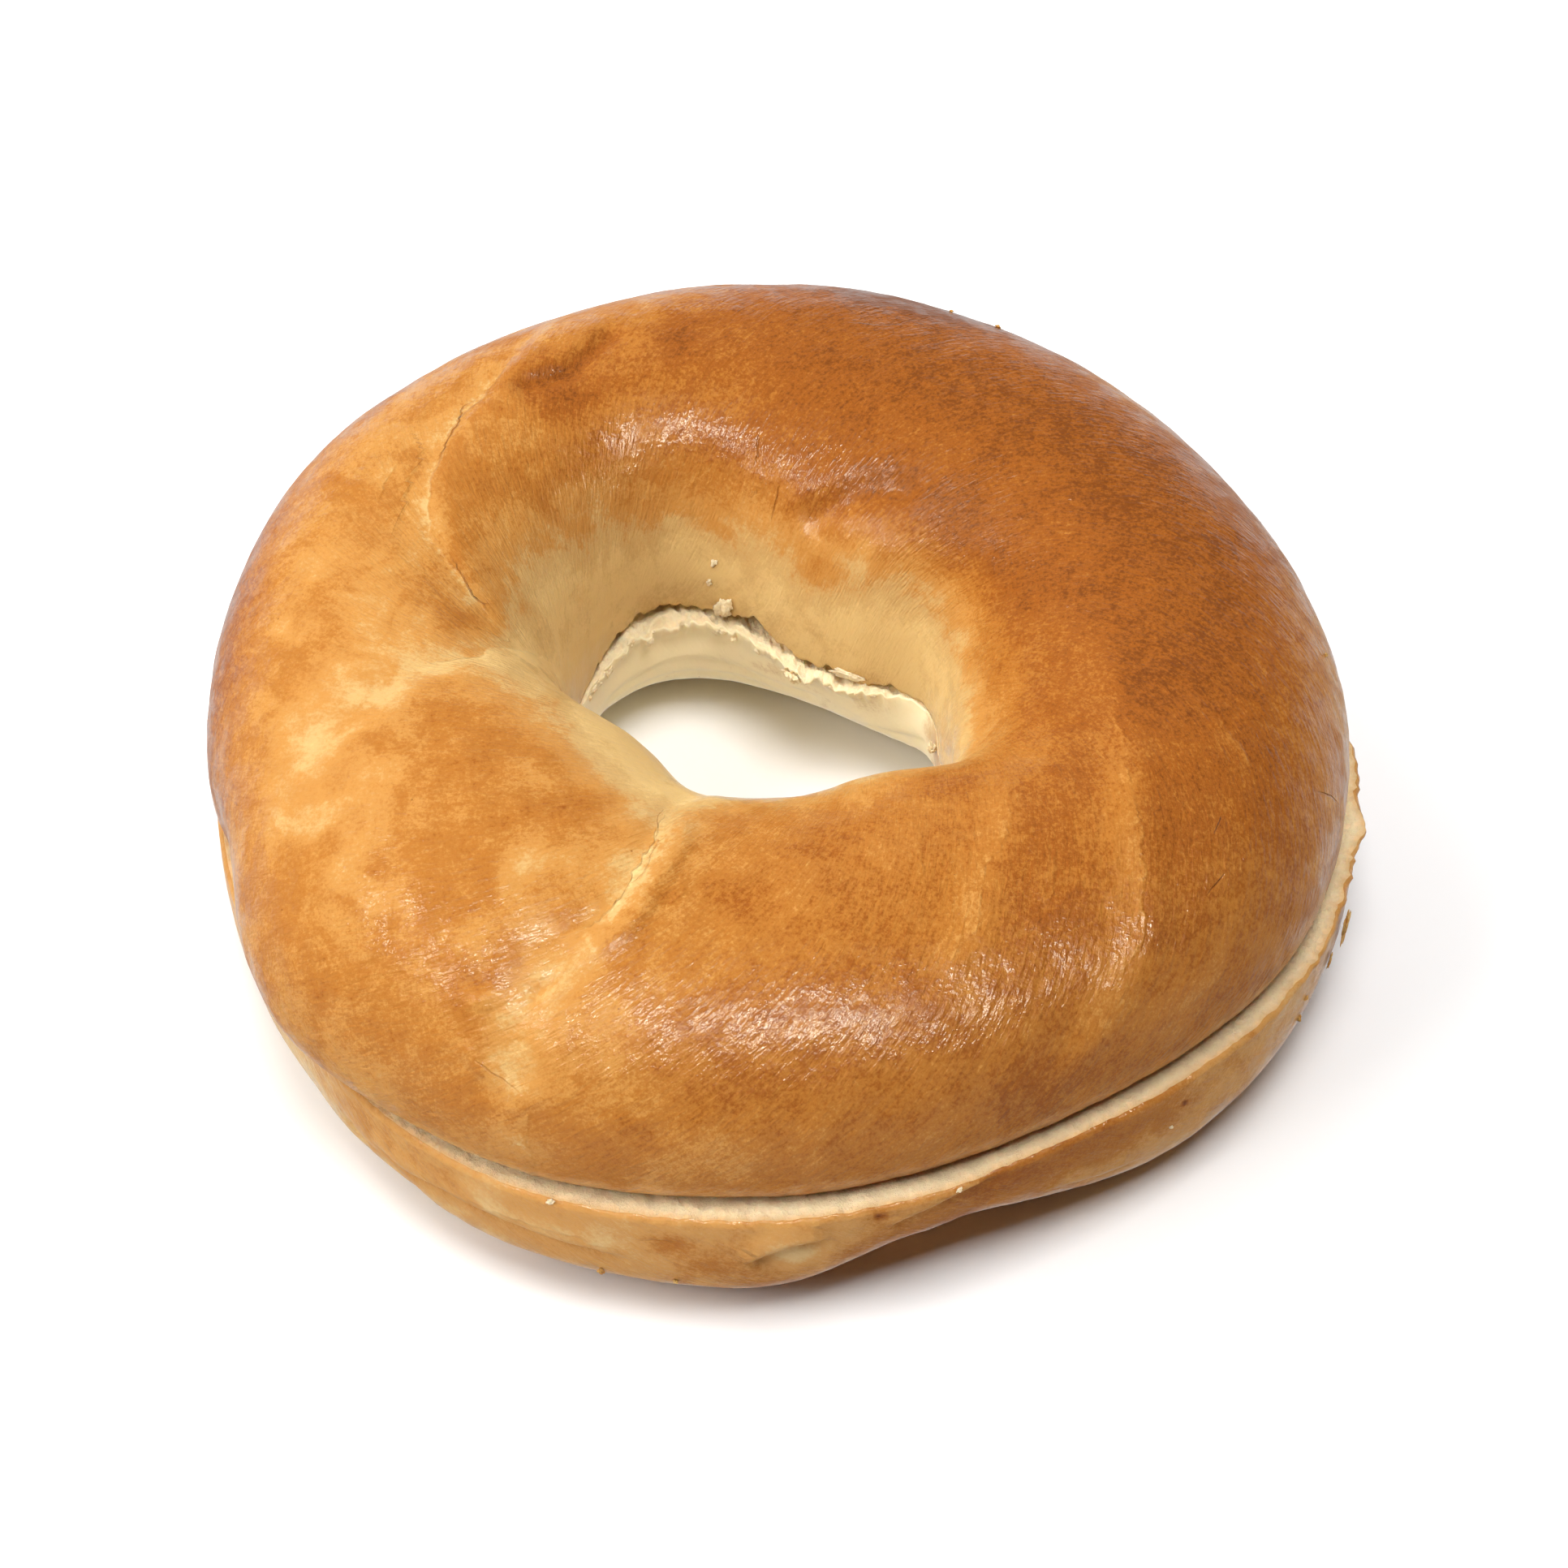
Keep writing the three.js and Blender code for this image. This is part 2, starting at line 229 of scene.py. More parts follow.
@dataclass
class Crust:
    """The crust of a half: points in millimetres and their tone by column and row; the tone is how much it
    baked, with painted light and shade in places.

    The columns stand at angles in degrees, and the rows at places across, from 0 to 1.
    """

    angles: np.ndarray
    across: np.ndarray
    points: np.ndarray
    tone: np.ndarray

    def normals(self) -> np.ndarray:
        """Normals that point out of the dough, by column and row."""
        along = np.roll(self.points, -1, axis=0) - np.roll(self.points, 1, axis=0)
        middle = self.points[:, self.points.shape[1] // 2, 2].mean()
        way = 1.0 if middle > self.points[:, 0, 2].mean() else -1.0
        return unit(np.cross(along, np.gradient(self.points, axis=1)) * way)

    def down(self) -> np.ndarray:
        """Length of the crust from its outer rim to each point, in millimetres."""
        step = np.linalg.norm(np.diff(self.points, axis=1), axis=-1)
        return np.concatenate([np.zeros((len(step), 1)), np.cumsum(step, axis=1)], axis=1)

    def push_out(self, reach: np.ndarray) -> None:
        """Moves the points away from the ring's axis.

        Args:
            reach: How far each point goes, in millimetres.
        """
        angle = np.radians(self.angles)[:, None]
        self.points[..., 0] += reach * np.cos(angle)
        self.points[..., 1] += reach * np.sin(angle)

    def column(self, angle: float) -> float:
        """Number of the column at an angle, with its fraction."""
        return angle % 360 / 360 * len(self.angles)

    def at(self, place: Place) -> np.ndarray:
        """Reads the crust between its points.

        Args:
            place: Where to read it.

        Returns:
            The point there, in millimetres.
        """
        column = self.column(place[0])
        row = float(np.interp(place[1], self.across, np.arange(len(self.across))))
        first, second = int(column) % len(self.angles), (int(column) + 1) % len(self.angles)
        low = min(int(row), len(self.across) - 2)
        near = self.points[[first, second]][:, [low, low + 1]]
        sides = near[:, 0] + (near[:, 1] - near[:, 0]) * (row - low)
        return sides[0] + (sides[1] - sides[0]) * (column - int(column))

    def window(self, path: Path, margin: float) -> np.ndarray:
        """Numbers of the columns along a path.

        Args:
            path: Places of the path.
            margin: How far to reach past them, in millimetres at the hole's rim.

        Returns:
            The columns' numbers.
        """
        low, high = min(place[0] for place in path), max(place[0] for place in path)
        spare = math.degrees(margin / RIM_RADIUS)
        turned = (self.angles - low + spare) % 360
        return np.nonzero(turned <= high - low + 2 * spare)[0]

    def trace(self, path: Path, samples: int, wander: float = 0.0) -> np.ndarray:
        """Points along a curve through a path on the crust.

        Args:
            path: Places that the curve goes through.
            samples: Number of points.
            wander: How far it strays to either side, in millimetres.

        Returns:
            The points, in millimetres.
        """
        knots = np.array(path, float)
        knots = np.vstack([2 * knots[0] - knots[1], knots, 2 * knots[-1] - knots[-2]])
        spots = []
        for k in np.linspace(0, len(path) - 1, samples):
            i = min(int(k), len(path) - 2)
            spots.append(self.at(tuple(curve(knots[i : i + 4], k - i))))
        line = np.array(spots)
        if wander:
            drift = [rough(line + shift, *STRAYING_LINE) for shift in (40, 80, 120)]
            line = line + wander * np.stack(drift, axis=-1)
        return line

    def nearest(self, line: np.ndarray, columns: np.ndarray) -> list[np.ndarray]:
        """Distance from the crust to a line, with its sign and how far along the line it is.

        Args:
            line: Points of the line.
            columns: Columns of the crust to look at.

        Returns:
            The distance, the offset to the left hand, and the share of the line's length.
        """
        points = self.points[columns].reshape(-1, 3)
        best = np.full(len(points), np.inf)
        which = np.zeros(len(points), int)
        for k, spot in enumerate(line):
            gap = ((points - spot) ** 2).sum(1)
            closer = gap < best
            best[closer] = gap[closer]
            which[closer] = k
        tangent = unit(np.gradient(line, axis=0))[which]
        left = np.cross(self.normals()[columns].reshape(-1, 3), tangent)
        side = ((points - line[which]) * left).sum(1)
        found = (np.sqrt(best), side, which / (len(line) - 1))
        return [values.reshape(len(columns), -1) for values in found]

    def fold(self, crease: Crease) -> None:
        """Presses a crease into the crust, and tones it.

        Args:
            crease: The crease to make.
        """
        margin = max(2.5 * crease.width, 2 * crease.reach * bool(crease.step), 2 * crease.side_reach)
        columns = self.window(crease.path, margin)
        apart, side, along = self.nearest(self.trace(crease.path, PATH_POINTS), columns)
        taper = fade(np.minimum(along, 1 - along), -0.02, 0.14)
        hand = np.tanh(side / crease.width)
        height = -crease.depth * bell(apart, crease.width)
        height += crease.step / 2 * hand * bell(apart, crease.reach)
        self.points[columns] += self.normals()[columns] * (height * taper)[..., None]
        # Painted shade: a positive tone darkens the groove along the crease.
        tone = crease.tone * bell(apart, crease.tone_width)
        tone += crease.side_tone * hand * bell(apart, crease.side_reach)
        self.tone[columns] += tone * taper

    def swell(self, patch: Patch) -> None:
        """Raises, sinks or tones a patch of the crust.

        Args:
            patch: The patch to make.
        """
        columns = self.window((patch.at,), 2.2 * patch.size * max(1.0, patch.stretch))
        offset = self.points[columns] - self.at(patch.at)
        turn = math.radians(patch.at[0])
        along = offset @ np.array([-math.sin(turn), math.cos(turn), 0])
        over = np.sqrt(np.maximum((offset**2).sum(-1) - along**2, 0))
        over *= np.sign(self.across - patch.at[1])
        angle = math.radians(patch.turn)
        long = along * math.cos(angle) + over * math.sin(angle)
        wide = over * math.cos(angle) - along * math.sin(angle)
        apart = (long / (patch.size * patch.stretch)) ** 2 + (wide / patch.size) ** 2
        normals = self.normals()[columns]
        if patch.height:
            self.points[columns] += normals * (patch.height * np.exp(-apart))[..., None]
        if patch.tone:
            waves = 0.45 * patch.size + 1.2
            ragged = 1 + 0.35 * rough(self.points[columns], waves, seed=3.3, detail=2)
            self.tone[columns] += patch.tone * np.exp(-apart * ragged)

    def lines(self, hairlines: tuple[Hairline, ...], far: float = 4.0) -> list[np.ndarray]:
        """Reads how near the crust comes to the nearest of some fine lines.

        Args:
            hairlines: The lines.
            far: Distance past which no line counts, in millimetres.

        Returns:
            The signed distance, the strength and the lift, by column and row.
        """
        field, strength, lift = (np.full(self.points.shape[:2], start) for start in (far, 0.0, 0.0))
        for hairline in hairlines:
            columns = self.window(hairline.path, far)
            line = self.trace(hairline.path, HAIRLINE_POINTS, hairline.wander)
            apart, side, along = self.nearest(line, columns)
            closer = (apart < far) & (apart < np.abs(field[columns]))
            plain = hairline.strength * fade(np.minimum(along, 1 - along), 0.0, hairline.taper)
            plain *= 1 - fade(apart, 0.6 * far, far)
            field[columns] = np.where(closer, np.copysign(apart, side), field[columns])
            strength[columns] = np.where(closer, plain, strength[columns])
            lift[columns] = np.where(closer, plain * hairline.lift, lift[columns])
        return [field, strength, lift]


class Mixer:
    """The node tree of a material or a world, with a short method for each kind of node used."""

    SPACING = 220  # between nodes in the editor
    ROWS = 5
    TOP = 300

    def __init__(self, owner: bpy.types.Material | bpy.types.World) -> None:
        """Starts with the nodes that a new material or world has."""
        owner.use_nodes = True
        self.owner, self.tree = owner, owner.node_tree

    def join(self, value: Value, socket: Socket) -> None:
        """Links an output to a socket, or sets the socket to a plain value.

        Args:
            value: An output, a number or a colour.
            socket: The input to fill.
        """
        if isinstance(value, Socket):
            self.tree.links.new(value, socket)
        else:
            socket.default_value = (*value, 1.0) if socket.type == "RGBA" else value

    def node(
        self, kind: str, output: int | str, inputs: dict[int | str, Value], **settings: str
    ) -> Socket:
        """Adds a node.

        Args:
            kind: Blender's name for it, after ShaderNode.
            output: The output to hand back.
            inputs: What each input gets.
            settings: The node's own settings.

        Returns:
            The output.
        """
        column, row = divmod(len(self.tree.nodes), self.ROWS)
        node = self.tree.nodes.new("ShaderNode" + kind)
        node.location = (-self.SPACING * (1 + column), self.TOP - self.SPACING * row)
        for name, value in settings.items():
            setattr(node, name, value)
        for name, value in inputs.items():
            self.join(value, node.inputs[name])
        return node.outputs[output]

    def fill(self, title: str, **sockets: Value) -> None:
        """Fills the inputs of the node with a title, their names given with _ for each space."""
        for name, value in sockets.items():
            self.join(value, self.tree.nodes[title].inputs[name.replace("_", " ")])

    def field(self, name: str) -> Socket:
        """Reads a number that each vertex carries."""
        return self.node("Attribute", "Fac", {}, attribute_name=name)

    def skin(self, lengthwise: float) -> Socket:
        """Reads the place on the skin in millimetres, which follows the twist of the dough.

        Args:
            lengthwise: How many times longer than wide a pattern is to lie along the strands.

        Returns:
            The place, with the strands' direction shortened.
        """
        place = self.node("Attribute", "Vector", {}, attribute_name="skin")
        shorter = (1.0, 1.0, 1 / lengthwise)
        return self.node("VectorMath", 0, {0: place, 1: shorter}, operation="MULTIPLY")

    def scaled(self, size: float, vector: Socket | None = None) -> dict[str, Value]:
        """Gives a pattern its place and its size.

        Args:
            size: Size of its waves or cells, in millimetres.
            vector: Where to read it; the place in the dough, in metres, when left out.

        Returns:
            The pattern's inputs.
        """
        if vector:
            return {"Vector": vector, "Scale": 1 / size}
        return {"Vector": self.node("TexCoord", "Object", {}), "Scale": 1 / (size * MM)}

    def clouds(
        self, size: float, detail: float = 2.0, vector: Socket | None = None,
        roughness: float = 0.5, distortion: float = 0.0,
    ) -> Socket:
        """Noise from 0 to 1.

        Args:
            size: Size of its waves, in millimetres.
            detail: Number of finer layers.
            vector: Where to read it; the place in the dough when left out.
            roughness: Strength of the finer layers.
            distortion: How far it is stirred.

        Returns:
            The noise.
        """
        look = {"Detail": detail, "Roughness": roughness, "Distortion": distortion}
        return self.node("TexNoise", "Fac", self.scaled(size, vector) | look)

    def sum(self, operation: str, *values: Value) -> Socket:
        """Works out a sum of one to three numbers, by Blender's name for it."""
        return self.node("Math", 0, dict(enumerate(values)), operation=operation)

    def times(self, first: Value, second: Value) -> Socket:
        """Multiplies two numbers."""
        return self.sum("MULTIPLY", first, second)

    def step(
        self, value: Value, low: float, high: float, start: Value = 0.0, end: Value = 1.0
    ) -> Socket:
        """Smooth step of a number.

        Args:
            value: The number.
            low: Where the step starts.
            high: Where it ends.
            start: Result up to low.
            end: Result from high on.

        Returns:
            The step.
        """
        names = ("Value", "From Min", "From Max", "To Min", "To Max")
        inputs = dict(zip(names, (value, low, high, start, end)))
        return self.node("MapRange", "Result", inputs, interpolation_type="SMOOTHSTEP")

    def ramp(self, value: Socket, colours: tuple[Colour, ...]) -> Socket:
        """Follows a number from 0 to 1 through colours.

        Args:
            value: The number.
            colours: The colours, evenly spaced.

        Returns:
            The colour.
        """
        colour = self.node("ValToRGB", "Color", {"Fac": value})
        bar = colour.node.color_ramp
        bar.interpolation = "EASE"
        while len(bar.elements) < len(colours):
            bar.elements.new(1.0)
        for k, shade in enumerate(colours):
            bar.elements[k].position = k / (len(colours) - 1)
            bar.elements[k].color = (*shade, 1.0)
        return colour

    def blend(self, share: Value, first: Value, second: Value) -> Socket:
        """Mixes a share of the second colour into the first."""
        return self.node("Mix", 2, {0: share, 6: first, 7: second}, data_type="RGBA")

    def relief(self, height: Socket, depth: float, below: Socket | None = None) -> Socket:
        """Normal bumped by a height, whose 1 stands for a depth in millimetres, over one below."""
        inputs = {"Strength": 1.0, "Distance": depth * MM, "Height": height}
        return self.node("Bump", "Normal", inputs | ({"Normal": below} if below else {}))


@dataclass(frozen=True)
class CrustFinish:
    """Glossy baked skin, from cream dough through gold to brown by its tone: how much it baked, with
    painted light and shade in places.
    """

    name: str
    cream: Colour = (0.70, 0.48, 0.195)
    straw: Colour = (0.59, 0.37, 0.138)
    gold: Colour = (0.515, 0.235, 0.054)
    amber: Colour = (0.405, 0.15, 0.024)
    brown: Colour = (0.29, 0.085, 0.011)
    dark: Colour = (0.17, 0.047, 0.007)
    gloss: float = 0.36
    glaze: float = 0.65
    wrinkle: float = 0.13
    mottle: float = 0.2
    strokes: float = 0.14

    def make(self) -> bpy.types.Material:
        """Builds the material."""
        mix = Mixer(bpy.data.materials.new(self.name))
        # The tone is mostly how much the crust baked; in places it carries painted light, sheen and shade.
        baked = mix.field("browning_and_painted_light")
        blotches = mix.step(mix.clouds(7.0, 5.0, roughness=0.62, distortion=0.6), 0.34, 0.66)
        strands = mix.clouds(4.0, 4.0, mix.skin(3.0), 0.6, 0.6)
        flecks = mix.clouds(1.7, 3.0, roughness=0.65)
        grit = mix.clouds(0.6, 3.0, mix.skin(1.3), 0.65)
        grain = mix.clouds(0.36, 2.0, roughness=0.75)
        coarse = mix.step(baked, 0.5, 0.8, self.mottle, 0.35 * self.mottle)
        fine = mix.step(baked, 0.3, 0.7, 0.4 * self.mottle, self.mottle)
        tone = baked
        for part, weight, share in (
            (blotches, 1.0, coarse), (strands, 0.8, coarse),
            (flecks, 1.4, fine), (grit, 1.6, fine), (grain, 2.8, fine),
        ):
            spread = mix.times(mix.sum("SUBTRACT", part, 0.5), weight)
            tone = mix.sum("MULTIPLY_ADD", spread, share, tone)
        patches = mix.clouds(3.2, 3.0, roughness=0.6)
        strokes = mix.step(mix.clouds(0.7, 3.0, mix.skin(2.2), 0.65, 0.6), 0.58, 0.68)
        strokes = mix.times(strokes, mix.step(patches, 0.45, 0.6))
        strokes = mix.times(strokes, mix.step(baked, 0.5, 0.7))
        tone = mix.sum("MULTIPLY_ADD", strokes, -self.strokes, tone)
        lips = mix.field("stretch")
        sharp = mix.step(lips, -0.25, 0.1)
        fading = mix.sum("EXPONENT", mix.times(mix.sum("MAXIMUM", lips, 0.0), -0.6))
        ragged = mix.step(flecks, 0.4, 0.6, 0.15, 1.0)
        drawn = mix.times(mix.field("stretch_strength"), ragged)
        tone = mix.sum("MULTIPLY_ADD", mix.times(mix.times(sharp, fading), drawn), -0.26, tone)
        colour = mix.ramp(
            tone, (self.cream, self.straw, self.gold, self.amber, self.brown, self.dark)
        )
        # Painted shade: the cracks are darkened towards brown for the shade inside them.
        crack_shade_mask = mix.step(mix.sum("ABSOLUTE", mix.field("crack")), 0.02, 0.14, 1.0, 0.0)
        crack_shade_mask = mix.times(crack_shade_mask, mix.field("crack_strength"))
        colour = mix.blend(mix.times(crack_shade_mask, 0.55), colour, self.brown)
        specks = mix.node("TexVoronoi", "Distance", mix.scaled(2.6))
        draw = mix.sum("FRACT", mix.times(specks.node.outputs["Color"], 7.0))
        dots = mix.times(mix.step(specks, 0.03, 0.05, 1.0, 0.0), mix.step(draw, 0.8, 0.82))
        colour = mix.blend(mix.times(dots, 0.6), colour, self.dark)
        creases = mix.clouds(0.6, 2.5, mix.skin(2.4), 0.5, 0.3)
        taut = mix.step(baked, -0.1, 0.35, 0.3, 1.0)
        normal = None
        for height, depth in (
            (mix.times(flecks, taut), 1.2 * self.wrinkle),
            (mix.times(creases, taut), 1.0 * self.wrinkle),
            (grain, 0.24 * self.wrinkle),
            (mix.times(sharp, mix.field("stretch_lift")), 0.4),
            (mix.sum("SUBTRACT", 1.0, crack_shade_mask), 0.15),
        ):
            normal = mix.relief(height, depth, normal)
        coat = mix.step(patches, 0.4, 0.58, 0.15 * self.glaze, self.glaze)
        mix.fill(
            "Principled BSDF", Base_Color=colour, Normal=normal,
            Roughness=mix.step(flecks, 0.3, 0.7, self.gloss - 0.04, self.gloss + 0.06),
            Specular_IOR_Level=0.12, Coat_Roughness=0.08, Coat_Normal=normal,
            Coat_Weight=mix.times(coat, mix.step(tone, 0.0, 0.2, 0.25, 1.0)),
            Subsurface_Weight=0.12, Subsurface_Radius=(1.0, 0.45, 0.18), Subsurface_Scale=0.0015,
        )
        return mix.owner


@dataclass(frozen=True)
class CrumbFinish:
    """Soft cream crumb of the cut, darker in its pores as painted shade, with a baked rind where it meets
    the crust.
    """

    name: str
    # Lighter than the crumb's own cream, partly painted light for the band of cut face that lies under the
    # crown's overhang.
    crumb: Colour = (0.98, 0.81, 0.51)
    # Painted shade: the colour in the pits of the pores
    pore_shade: Colour = (0.88, 0.68, 0.41)
    rind: Colour = (0.70, 0.42, 0.17)

    def make(self) -> bpy.types.Material:
        """Builds the material."""
        mix = Mixer(bpy.data.materials.new(self.name))
        pores = mix.node(
            "TexVoronoi", "Distance", mix.scaled(0.8) | {"Smoothness": 0.6}, feature="SMOOTH_F1"
        )
        fine = mix.clouds(0.45, 4.0, roughness=0.8)
        holes = mix.times(mix.step(pores, 0.1, 0.6), mix.step(fine, 0.2, 0.75))
        # Painted shade: the crumb is darker in its pits, where the pores are bumped in.
        colour = mix.blend(mix.step(holes, 0.0, 0.7), self.pore_shade, self.crumb)
        edge = mix.sum("MULTIPLY_ADD", fine, -1.4, mix.field("rind"))
        colour = mix.blend(mix.step(edge, -1.0, 0.4, 0.85, 0.0), colour, self.rind)
        mix.fill(
            "Principled BSDF", Base_Color=colour, Roughness=0.85, Specular_IOR_Level=0.25,
            Normal=mix.relief(fine, 0.06, mix.relief(holes, 0.09)),
            Subsurface_Weight=0.2, Subsurface_Radius=(1.0, 0.6, 0.3), Subsurface_Scale=0.0015,
        )
        return mix.owner


@dataclass(frozen=True)
class Tear:
    """A stretch of a rim where the dough tore, by its middle and half its width in degrees."""

    name: str
    angle: float
    half_width: float
    height: float


def torn(angles: np.ndarray, tears: tuple[Tear, ...]) -> np.ndarray:
    """Height of some tears at each angle round a rim, in millimetres."""
    apart = [((angles - tear.angle + 180) % 360 - 180) / tear.half_width for tear in tears]
    return sum((tear.height * bell(a, 1) for tear, a in zip(tears, apart)), np.zeros(len(angles)))


@dataclass
class DoughHalf:
    """A half of the bagel: its crust, and the crumb of its cut face."""

    name: str
    node: str
    slot: str
    looks: CutFace
    crust_finish: CrustFinish
    columns: int
    crust_rows: int
    face_rows: int
    ring_radius: float = 34.0
    dough_radius: float = 20.0

    swellings: tuple[Patch, ...] = ()
    seams: tuple[Crease, ...] = ()
    tears: tuple[Tear, ...] = ()
    lips: tuple[Tear, ...] = ()
    ragged: tuple[Tear, ...] = ()
    patches: tuple[Patch, ...] = ()
    cracks: tuple[Hairline, ...] = ()
    stretches: tuple[Hairline, ...] = ()

    crowding: float = 0.35  # how much closer together the rows lie at the rims
    face_crowding: float = 0.85
    twist: float = 1.2  # radians that the dough's strands turn from the outer rim to the hole
    rim_round: float = 0.4
    rim_fray: float = 0.26
    rim_reach: float = 0.8
    tear_lift: float = 0.0  # share of a tear's height by which this half's rim draws back
    tear_reach: float = 2.6
    ragged_reach: float = 0.9
    lip_reach: float = 1.8
    crumb_relief: float = 0.25
    torn_relief: float = 0.4  # what the crumb's relief gains for each millimetre of a torn lip
    torn_width: float = 5.0
    grain_relief: float = 0.22
    grain_width: float = 4.0
    crumb_shrink: float = 0.1
    shrink_width: float = 0.7
    calm_rim: float = 0.6  # width of the rim where the crumb rises from the crust's edge
    lump_height: float = 0.16
    ripple_height: float = 0.05
    calm_foot: float = 4.0  # height up to which the base keeps the lumps small

    def section(self, angles: np.ndarray, share: np.ndarray) -> tuple[np.ndarray, np.ndarray]:
        """Section of the crust, from the outer edge of the cut to the hole; each half has its own.

        Args:
            angles: Angles round the ring, as a column.
            share: Places along the section by turn, as a row.

        Returns:
            Radius and height, in millimetres.
        """
        raise NotImplementedError

    def bake(self, crust: Crust) -> None:
        """Gives the bare crust its plain tone, before any patch, with painted sheen in the top half's; each
        half has its own.
        """
        raise NotImplementedError

    def spread(self, rows: int, crowding: float) -> np.ndarray:
        """Places of rows from 0 to 1, closer together at both ends the nearer crowding is to 1."""
        even = np.linspace(0, 1, rows + 1)
        return even - crowding * np.sin(2 * math.pi * even) / (2 * math.pi)

    def bare_crust(self) -> Crust:
        """The crust before any seam or swelling, its rows spaced by length."""
        angles = np.arange(self.columns) * 360 / self.columns
        radius, height = self.section(angles[:, None], np.linspace(0, 1, SECTION_STEPS)[None, :])
        step = np.hypot(np.diff(radius, axis=1), np.diff(height, axis=1))
        length = np.concatenate([np.zeros((self.columns, 1)), np.cumsum(step, axis=1)], axis=1)
        across = self.spread(self.crust_rows, self.crowding)
        grid = np.empty((self.columns, len(across), 3))
        for k, angle in enumerate(np.radians(angles)):
            places = across * length[k, -1]
            out = np.interp(places, length[k], radius[k])
            grid[k, :, 0] = RING_CENTRE[0] + out * math.cos(angle)
            grid[k, :, 1] = RING_CENTRE[1] + out * math.sin(angle)
            grid[k, :, 2] = np.interp(places, length[k], height[k])
        return Crust(angles, across, grid, np.zeros(grid.shape[:2]))

    def shape(self) -> Crust:
        """The crust with its lobes, seams and slow unevenness."""
        crust = self.bare_crust()
        self.bake(crust)
        for patch in self.swellings:
            crust.swell(patch)
        for crease in self.seams:
            crust.fold(crease)
        for patch in self.patches:
            crust.swell(patch)
        lumps = self.lump_height * rough(crust.points, *LUMPS)
        lumps += self.ripple_height * rough(crust.points, *RIPPLES)
        calm = fade(crust.points[..., 2], 0, self.calm_foot)
        crust.points += crust.normals() * (lumps * calm)[..., None]
        left = np.clip(1 - crust.down() / self.rim_round, 0, 1)
        crust.push_out(-self.rim_round * (1 - np.sqrt(1 - left**2)))
        self.fray_rims(crust)
        crust.points[..., 2] = np.maximum(crust.points[..., 2], 0)
        return crust

    def fray_rims(self, crust: Crust) -> None:
        """Frays both rims of the cut, and draws the rim inside the hole back where it tore.

        Args:
            crust: The crust.
        """
        down = crust.down()
        left = down[:, -1:] - down
        outer_rim, inner_rim = crust.points[:, 0] * (1, 1, 0), crust.points[:, -1] * (1, 1, 0)
        outer = self.rim_fray * rough(outer_rim, *FRAYED_RIM)
        ragged = rough(inner_rim, *TORN_RIM)
        drawn_back = self.tear_lift * torn(crust.angles, self.tears)
        inner = 2 * self.rim_fray * ragged + drawn_back * (1 + 0.55 * ragged)
        away = -self.looks.value
        crust.points[..., 2] += away * outer[:, None] * bell(down, self.rim_reach)
        crust.points[..., 2] += away * inner[:, None] * bell(left, self.tear_reach)
        flaky = np.clip(0.5 + 1.6 * rough(outer_rim, *FLAKY_RIM), -0.2, 1.6)
        push = torn(crust.angles, self.ragged) * flaky
        lip = torn(crust.angles, self.lips) * (1 + 0.7 * ragged)
        crust.push_out(
            push[:, None] * bell(down, self.ragged_reach) - lip[:, None] * bell(left, self.lip_reach)
        )

    def rough_ring(self) -> bpy.types.Object:
        """Turns a half circle, closed by the line of the cut, into a ring."""
        bpy.ops.object.select_all(action="DESELECT")
        bpy.ops.mesh.primitive_circle_add(
            vertices=2 * self.crust_rows, radius=self.dough_radius * MM,
            location=(self.ring_radius * MM, 0, 0), rotation=(math.pi / 2, 0, math.pi / 2),
        )
        piece = bpy.context.object
        piece.name = self.name
        bpy.ops.object.transform_apply(location=True, rotation=True, scale=True)
        for vertex in piece.data.vertices:
            vertex.co = (self.ring_radius * MM + vertex.co.y, 0, vertex.co.z)
        below = self.looks is CutFace.DOWN
        bpy.ops.object.mode_set(mode="EDIT")
        bpy.ops.mesh.select_mode(type="VERT")
        bpy.ops.mesh.select_all(action="SELECT")
        bpy.ops.mesh.bisect(
            plane_co=(0, 0, 0), plane_no=(0, 0, 1), clear_inner=below, clear_outer=not below,
            threshold=1e-6,
        )
        bpy.ops.object.mode_set(mode="OBJECT")
        for vertex in piece.data.vertices:
            vertex.select = abs(vertex.co.z) < 1e-6
        bpy.ops.object.mode_set(mode="EDIT")
        bpy.ops.mesh.edge_face_add()
        bpy.ops.mesh.subdivide(number_cuts=self.face_rows - 1)
        bpy.ops.object.mode_set(mode="OBJECT")
        screw = piece.modifiers.new("turn", "SCREW")
        screw.axis = "Z"
        screw.angle = math.tau
        screw.steps = screw.render_steps = self.columns
        screw.use_merge_vertices = True
        screw.merge_threshold = 1e-6
        bpy.ops.object.modifier_apply(modifier=screw.name)
        bpy.ops.object.mode_set(mode="EDIT")
        bpy.ops.mesh.select_all(action="SELECT")
        bpy.ops.mesh.normals_make_consistent(inside=False)
        bpy.ops.object.mode_set(mode="OBJECT")
        bpy.ops.object.shade_smooth()
        return piece

